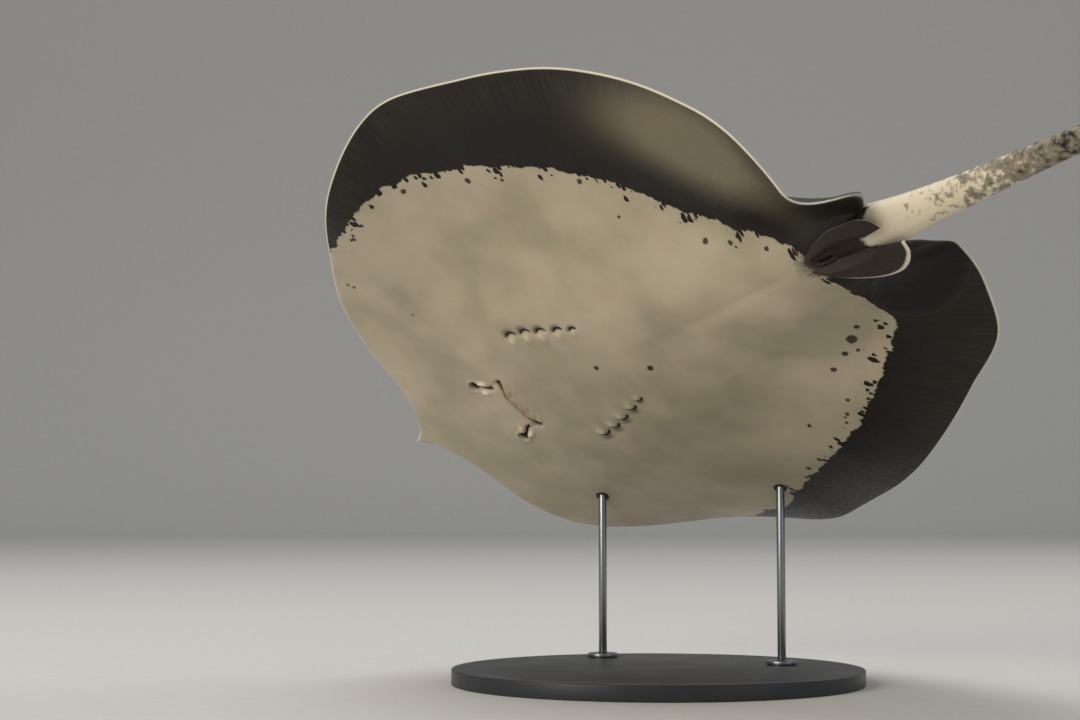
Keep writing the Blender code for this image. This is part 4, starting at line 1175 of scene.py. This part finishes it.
def plant(name, template, at, roots, fore, along, radius, high):
    """One mesh with a copy of the template at each root, turned to lie along fore and stand off the skin.

    The places on the skin are given by their aft, side, row, reach, underside and distance down the tail.
    """
    shape = read_mesh(template.data.vertices)
    faces = [tuple(face.vertices) for face in template.data.polygons]
    bpy.data.objects.remove(template)
    aft, side, _, reach, under, down = at
    count, corners = len(roots), len(shape)
    away = np.cross(fore, along)
    away = away / np.linalg.norm(away, axis=1, keepdims=True)
    fore = fore - away * np.sum(fore * away, axis=1, keepdims=True)
    fore = fore / np.linalg.norm(fore, axis=1, keepdims=True)
    aside = np.cross(away, fore)
    radius, high = (np.broadcast_to(size, count)[:, None, None] for size in (radius, high))
    lengthwise, crosswise, upwards = (shape[:, axis, None] for axis in range(3))
    points = roots[:, None] + radius * (lengthwise * fore[:, None] + crosswise * aside[:, None])
    points = (points + high * upwards * away[:, None]).reshape(-1, 3)
    mesh = bpy.data.meshes.new(name)
    starts = (np.arange(count) * corners).tolist()
    mesh.from_pydata(points, [], [[start + corner for corner in face] for start in starts for face in faces])
    set_marks(mesh, {mark: np.repeat(amounts, corners) for mark, amounts in skin_marks(*at).items()})
    patches = np.repeat(unwrap(aft, side, reach, under, down), corners, axis=0)
    patches = patches + np.tile(shape[:, :2] * BAKE_PATCH, (count, 1))
    flat = np.repeat(np.stack([side, aft], -1), corners, axis=0)
    set_shape(mesh, points, {"flat": flat, "OFBake": patches})
    mesh.materials.append(horn)
    piece = bpy.data.objects.new(name, mesh)
    bpy.context.scene.collection.objects.link(piece)
    bpy.ops.object.select_all(action="DESELECT")
    piece.select_set(True)
    bpy.context.view_layer.objects.active = piece
    bpy.ops.object.shade_smooth_by_angle(angle=math.radians(50))
    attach(piece, "root")


def plant_on_back(name, template, aft, side, row, reach, radius, high):
    """Denticles on the back of the disc."""
    under = np.zeros(len(row), bool)
    roots = disc_skin(row, reach, under, -FOOT_SUNK)
    fore = disc_skin(row + NUDGE, reach, under) - disc_skin(row - NUDGE, reach, under)
    along = disc_skin(row, reach + NUDGE, under) - disc_skin(row, reach - NUDGE, under)
    at = (aft, side, row, reach, under, np.zeros(len(row)))
    plant(name, template, at, roots, fore, along, radius, high)


def plant_on_tail(name, template, down, reach, radius, high):
    """Denticles on the top and flanks of the tail."""
    under = np.zeros(len(down), bool)
    roots = tail_skin(down, reach, under, -FOOT_SUNK)
    fore = tail_skin(down + NUDGE, reach, under) - roots
    along = tail_skin(down, reach + NUDGE, under) - tail_skin(down, reach - NUDGE, under)
    at = (BODY_END + down, reach * tail_width(down), np.ones(len(down)), reach, under, down)
    plant(name, template, at, roots, fore, along, radius, high)


def small_cone(sides, tip, tall, middle):
    """A cone of radius 1, with its middle at this height."""
    size = {"radius1": 1.0, "radius2": tip, "depth": tall}
    bpy.ops.mesh.primitive_cone_add(vertices=sides, location=(0, 0, middle), **size)
    piece = bpy.context.object
    apply_place(piece)
    return piece


def heart_tubercle():
    """A low plate of six sides, drawn out to a point behind and a little shortened in front; its foot is sunk
    in the skin.
    """
    tubercle = small_cone(6, tip=0.68, tall=1.0, middle=0.5)
    for corner in tubercle.data.vertices:
        heading = math.atan2(corner.co.y, corner.co.x)
        corner.co.x *= 1.20 if abs(heading) < 1.2 else 0.92
        corner.co.z -= 0.2 if corner.co.z < 0.5 else 0
    return tubercle


def prickle():
    """A thorn of four sides that leans back along the tail."""
    thorn = small_cone(4, tip=0, tall=1.2, middle=0.4)
    for corner in thorn.data.vertices:
        corner.co.x += 1.1 * max(corner.co.z, 0)
    return thorn


def band_half(aft):
    """Half the width of the band of tubercles at these places."""
    return np.interp(aft / DISC, *np.transpose(BAND_HALF)) * DISC


def clear_of_head_openings(aft, side):
    """Whether these places lie outside the bare skin round the eyes and spiracles."""
    from_eye = np.hypot(aft - EYE_AFT, np.abs(side) - EYE_SIDE)
    return (from_eye > BARE_ROUND_EYE) & (from_oval(aft, side, *BARE_SPIRACLE) > 1)


horn = paint_hide("polished_horny_denticles", 0.34, 0.30)

# the band down the back: largest in its middle
aft, side = strewn(BAND_START, BODY_END - 0.004, 0.10 * DISC, BAND_SPACING, seed=21)
row, reach, found = find_rows(aft, side)
wander = band_half(aft) * (1 + 0.10 * unevenness(aft, side, 0.05, seed=31))
inside = found & (np.abs(side) < wander) & clear_of_head_openings(aft, side) & (row < 0.995)
aft, side, row, reach = (values[inside] for values in (aft, side, row, reach))
draw = np.random.default_rng(22)
middle_share = 1 - 0.45 * (np.abs(side) / band_half(aft)) ** 2
radius = BAND_RADIUS * middle_share * draw.uniform(0.75, 1.18, len(aft))
high = BAND_HIGH * middle_share * draw.uniform(0.7, 1.2, len(aft))
plant_on_back("denticle_band", heart_tubercle(), aft, side, row, reach, radius, high)

# granules over the rest of the back
aft, side = strewn(0.03 * DISC, 0.985 * DISC, 0.485 * DISC, GRANULE_SPACING, seed=23)
row, reach, found = find_rows(aft, side)
beside_band = np.abs(side) > 0.97 * band_half(aft) * (aft > BAND_START)
inside = found & beside_band & clear_of_head_openings(aft, side)
inside &= ((1 - np.abs(reach)) * outline_at(row)[1] > GRANULE_INWARD) & (row > 0.02) & (row < 0.97)
aft, side, row, reach = (values[inside] for values in (aft, side, row, reach))
size = np.random.default_rng(24).uniform(0.6, 1.15, len(aft))
radius, high = GRANULE_RADIUS * size, GRANULE_HIGH * size
granule = small_cone(5, tip=0, tall=1.2, middle=0.4)
plant_on_back("denticle_granules", granule, aft, side, row, reach, radius, high)

# the large ones on the midline
aft = LARGE_AFT + LARGE_STEP * np.arange(len(LARGE_SIZES))
row, reach, _ = find_rows(aft, LARGE_SIDES)
bpy.ops.mesh.primitive_uv_sphere_add(segments=14, ring_count=8, radius=1.0)
pearl = bpy.context.object
for corner in pearl.data.vertices:
    corner.co.y *= 0.72 + 0.10 * corner.co.x
radius, high = LARGE_RADIUS * LARGE_SIZES, LARGE_HIGH * LARGE_SIZES
plant_on_back("denticles_midline", pearl, aft, LARGE_SIDES, row, reach, radius, high)

# the band runs on over the root of the tail, and prickles take over from it on the whip
down, side = strewn(0.004, STING_AFT + 0.03, 0.04, BAND_SPACING * 1.05, seed=25)
reach = side / tail_width(down)
inside = np.abs(reach) < 0.62 * fade((STING_AFT + 0.06 - down) / 0.10) + 0.18
down, reach = down[inside], reach[inside]
size = np.random.default_rng(26).uniform(0.75, 1.1, len(down)) * (1 - 0.4 * np.abs(reach))
plant_on_tail("denticles_tail_root", heart_tubercle(), down, reach, BAND_RADIUS * size, BAND_HIGH * size)

down, side = strewn(STING_AFT, TAIL_LENGTH - 0.03, 0.022, PRICKLE_SPACING, seed=27)
reach = side / tail_width(down)
under_sting = (down < STING_AFT + 0.125) & (np.abs(reach) < 0.45)
inside = (np.abs(reach) < 0.94) & ~under_sting
down, reach = down[inside], reach[inside]
size = np.random.default_rng(28).uniform(0.6, 1.2, len(down)) * np.clip(tail_width(down) / 0.010, 0.35, 1)
plant_on_tail("prickles_tail", prickle(), down, reach, PRICKLE_RADIUS * size, PRICKLE_HIGH * size)


# ---------------------------------------------------------------------------------------------------------
# Eyes: small glass eyes, painted from behind, set in the lids on the head's back. Each has a bronze iris and
# a dark pupil that a flap narrows from above to a crescent, as a stingray's does in the light.
# ---------------------------------------------------------------------------------------------------------
IRIS_SHARE, PUPIL_WIDE, PUPIL_HIGH, PUPIL_DROP = 0.62, 0.30, 0.23, -0.02
FLAP_WIDE, FLAP_TALL, FLAP_RISE = 0.19, 0.16, 0.17
BRONZE = [(0.35, "#4A3820"), (0.66, "#8E7243"), (0.52, "#6B5431")]
LIMBUS, PUPIL = "#1A130C", "#050505"
GAZE_OUT, GAZE_AHEAD = 0.42, 0.15  # how far the eyes look out to the side and ahead, against up

glass, shader = new_material("clear_glass_over_painted_iris", 0.06)
gaze = add_node(glass, "UVMap", uv_map="gaze")


def within_oval(rise, wide, tall, none, full):
    """Share of paint in or round an oval on the eye: from none to full of its size."""
    placed = {"Vector": gaze, "Location": (0, -rise / tall, 0), "Scale": (1 / wide, 1 / tall, 1)}
    moved = add_node(glass, "Mapping", placed)
    return share_of(glass, add_node(glass, "VectorMath", (moved,), operation="LENGTH"), none, full)


threads = add_node(glass, "TexNoise", (gaze, 9.0, 6.0))
bronze = add_node(glass, "ValToRGB", (threads,), stops=BRONZE)
iris = coat(glass, bronze, LIMBUS, within_oval(0, 1, 1, 0.50, IRIS_SHARE))
pupil = within_oval(PUPIL_DROP, PUPIL_WIDE, PUPIL_HIGH, 1.04, 0.96)
clear_of_flap = within_oval(FLAP_RISE, FLAP_WIDE, FLAP_TALL, 0.90, 1.10)
pupil = add_node(glass, "Math", (pupil, clear_of_flap), operation="MULTIPLY")
feed(shader, {
    "Base Color": coat(glass, iris, PUPIL, pupil), "Coat Weight": 1.0, "Coat Roughness": 0.02, "IOR": 1.5,
})

room_aft, room_side, room_up = (hang_way(way) for way in np.eye(3))
for hand, side_name in ((-1, "left"), (1, "right")):
    low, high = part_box(f"eye_{side_name}")
    centre = (low + high) / 2
    look = Vector(room_up + hand * GAZE_OUT * room_side - GAZE_AHEAD * room_aft).normalized()
    bpy.ops.mesh.primitive_uv_sphere_add(segments=40, ring_count=24, radius=EYE_RADIUS, location=centre)
    eye = bpy.context.object
    eye.rotation_euler = look.to_track_quat("Z", "Y").to_euler()
    apply_place(eye)
    level = Vector(room_aft - Vector(room_aft).dot(look) * np.array(look)).normalized()
    upright = look.cross(level) * hand
    upright = upright if upright.dot(Vector(room_up)) > 0 else -upright
    points = read_mesh(eye.data.vertices)
    out = (points - np.array(centre)) / EYE_RADIUS
    set_shape(eye.data, points, {"gaze": np.stack([out @ np.array(level), out @ np.array(upright)], -1)})
    settle(eye, f"eye_{side_name}_glass", glass, smooth_angle=180)
    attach(eye, "root")
    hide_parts(f"eye_{side_name}")


# ---------------------------------------------------------------------------------------------------------
# Sting: a flat spine of dentine as hard as bone, grooved along its length and toothed down both edges with
# barbs that point back to its root. It lies along the top of the tail, rooted in the skin.
# ---------------------------------------------------------------------------------------------------------
STING_LENGTH, STING_WIDTH, STING_THICKNESS, STING_GAP = 0.110, 0.0080, 0.0036, 0.0004
STING_ALONG, STING_AROUND, STING_TAPER = 240, 20, 2.4
BARBS, BARB_DEEP, BARB_START = 30, 0.24, 0.22
DENTINE, DENTINE_STAIN = "#CDBB92", "#7A6240"

# dentine: ivory, streaked along its length and stained where it leaves the skin
dentine, shader = new_material("weathered_dentine", 0.45)
flow = add_node(dentine, "UVMap", uv_map="along")
streaks = add_node(dentine, "Mapping", {"Vector": flow, "Scale": (6.0, 40.0, 1.0)})
streaks = add_node(dentine, "TexNoise", (streaks, 1.0, 4.0))
stain_and_shade = add_node(dentine, "SeparateXYZ", (flow,))
stain_and_shade = add_node(dentine, "MapRange", (stain_and_shade, 0.60, 0.0, 0.30, 1.6))
stain_and_shade = add_node(dentine, "Math", (stain_and_shade, streaks), operation="MULTIPLY")
feed(shader, {
    "Base Color": coat(dentine, DENTINE, DENTINE_STAIN, stain_and_shade),
    "Normal": add_node(dentine, "Bump", {"Height": streaks, "Strength": 0.4, "Distance": 0.0003}),
})

bpy.ops.mesh.primitive_grid_add(x_subdivisions=STING_AROUND, y_subdivisions=STING_ALONG, size=1)
sting = bpy.context.object
grid = read_mesh(sting.data.vertices) + 0.5
share, turn = grid[:, 1], grid[:, 0] * math.tau
tooth = (share * BARBS) % 1
barbed = fade((share - BARB_START) / 0.08) * fade((0.985 - share) / 0.03)
pointed = np.sqrt(np.clip(1 - share**STING_TAPER, 0, 1))
half = STING_WIDTH / 2 * pointed * (1 - 0.10 * fade((0.15 - share) / 0.15))
half = half * (1 - BARB_DEEP * barbed * tooth) * (0.45 + 0.55 * np.sqrt(fade(share / 0.05)))
flutes = 1 - 0.16 * hump(np.cos(turn), 0.22) - 0.10 * hump(np.abs(np.cos(turn)) - 0.55, 0.12)
thin_teeth = 1 - 0.65 * barbed * tooth * np.abs(np.cos(turn)) ** 3
rise = np.sin(turn) * flutes * STING_THICKNESS / 2 * pointed * thin_teeth
middle, _, right, up = tail_frame(STING_AFT + share * STING_LENGTH)
lie = BACK[-1][1] / OUTLINE[-1][1] * tail_width(np.array(STING_AFT)) + STING_GAP + STING_THICKNESS / 2
places = hang(middle + (np.cos(turn) * half)[:, None] * right + (lie + rise)[:, None] * up)
set_shape(sting.data, places, {"along": np.stack([share, grid[:, 0]], -1)})
close_mesh(near=0.000005)
settle(sting, "sting_barbed", dentine, smooth_angle=40)
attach(sting, "root")
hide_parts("sting")


# ---------------------------------------------------------------------------------------------------------
# Studio: a pale sheet that sweeps up behind, a broad soft key on the viewer's left, a weak fill on the right,
# one lamp behind that lights the margins and the tail, and one above for the back.
# ---------------------------------------------------------------------------------------------------------
PAPER, PAPER_FIBRE = "#D8D6D2", "#CFCDC8"
FIBRE_SIZE = 0.025
SWEEP_WIDE, SWEEP_NEAR, SWEEP_FAR, SWEEP_HIGH, SWEEP_BEND = 40.0, -14.0, 12.0, 10.0, 3.0
CAMERA_PLACE, CAMERA_TILT, CAMERA_LENS = (-0.1654, -2.6596, 0.27), math.radians(94), 62.49
AIM = Vector((0.0, -0.05, 0.45))
LAMPS = {  # place, size, power and colour
    "key": ((-4.8, -4.6, 2.6), 3.6, 250.0, "#FFF6EA"),
    "fill": ((4.6, -4.4, 1.4), 3.6, 24.0, "#EAF1FF"),
    "back": ((4.8, 3.2, 4.0), 3.2, 64.0, "#FFF8F0"),
    "top": ((-1.6, 0.8, 6.0), 3.6, 145.0, "#FFFFFF"),
}
AIR, AIR_STRENGTH = "#E2E6EA", 0.42

# matt paper: off-white with a faint fibre
paper, shader = new_material("matt_backdrop_paper", 0.9)
place = add_node(paper, "TexCoord", out="Object")
fibre = add_node(paper, "TexNoise", (place, 1 / FIBRE_SIZE, 4.0))
feed(shader, {"Base Color": coat(paper, PAPER, PAPER_FIBRE, fibre)})

bpy.ops.mesh.primitive_plane_add(size=1, location=(0, (SWEEP_NEAR + SWEEP_FAR) / 2, 0))
sweep = bpy.context.object
sweep.scale = (SWEEP_WIDE, SWEEP_FAR - SWEEP_NEAR, 1)
apply_place(sweep)
for element in (*sweep.data.vertices, *sweep.data.polygons):
    element.select = False
for edge in sweep.data.edges:
    edge.select = all(sweep.data.vertices[number].co.y > 0 for number in edge.vertices)
bpy.ops.object.mode_set(mode="EDIT")
bpy.ops.mesh.select_mode(type="EDGE")
bpy.ops.mesh.extrude_region_move(TRANSFORM_OT_translate={"value": (0, 0, SWEEP_HIGH)})
bpy.ops.object.mode_set(mode="OBJECT")
bevel_edges(sweep, SWEEP_BEND, segments=24)
settle(sweep, "studio_sweep", paper)

for name, (spot, size, power, colour) in LAMPS.items():
    bpy.ops.object.light_add(type="AREA", location=spot)
    lamp = bpy.context.object
    lamp.name = f"lamp_{name}"
    lamp.rotation_euler = (AIM - Vector(spot)).to_track_quat("-Z", "Y").to_euler()
    lamp.data.size = size
    lamp.data.energy = power
    lamp.data.color = linear(colour)[:3]

world = bpy.data.worlds.new("studio_air")
world.use_nodes = True
feed(world.node_tree.nodes["Background"], {"Color": AIR, "Strength": AIR_STRENGTH})
bpy.context.scene.world = world
bpy.context.scene.view_settings.view_transform = "Standard"

bpy.ops.object.camera_add(location=CAMERA_PLACE, rotation=(CAMERA_TILT, 0, 0))
camera = bpy.context.object
camera.data.sensor_width = 36.0
camera.data.lens = CAMERA_LENS
bpy.context.scene.camera = camera
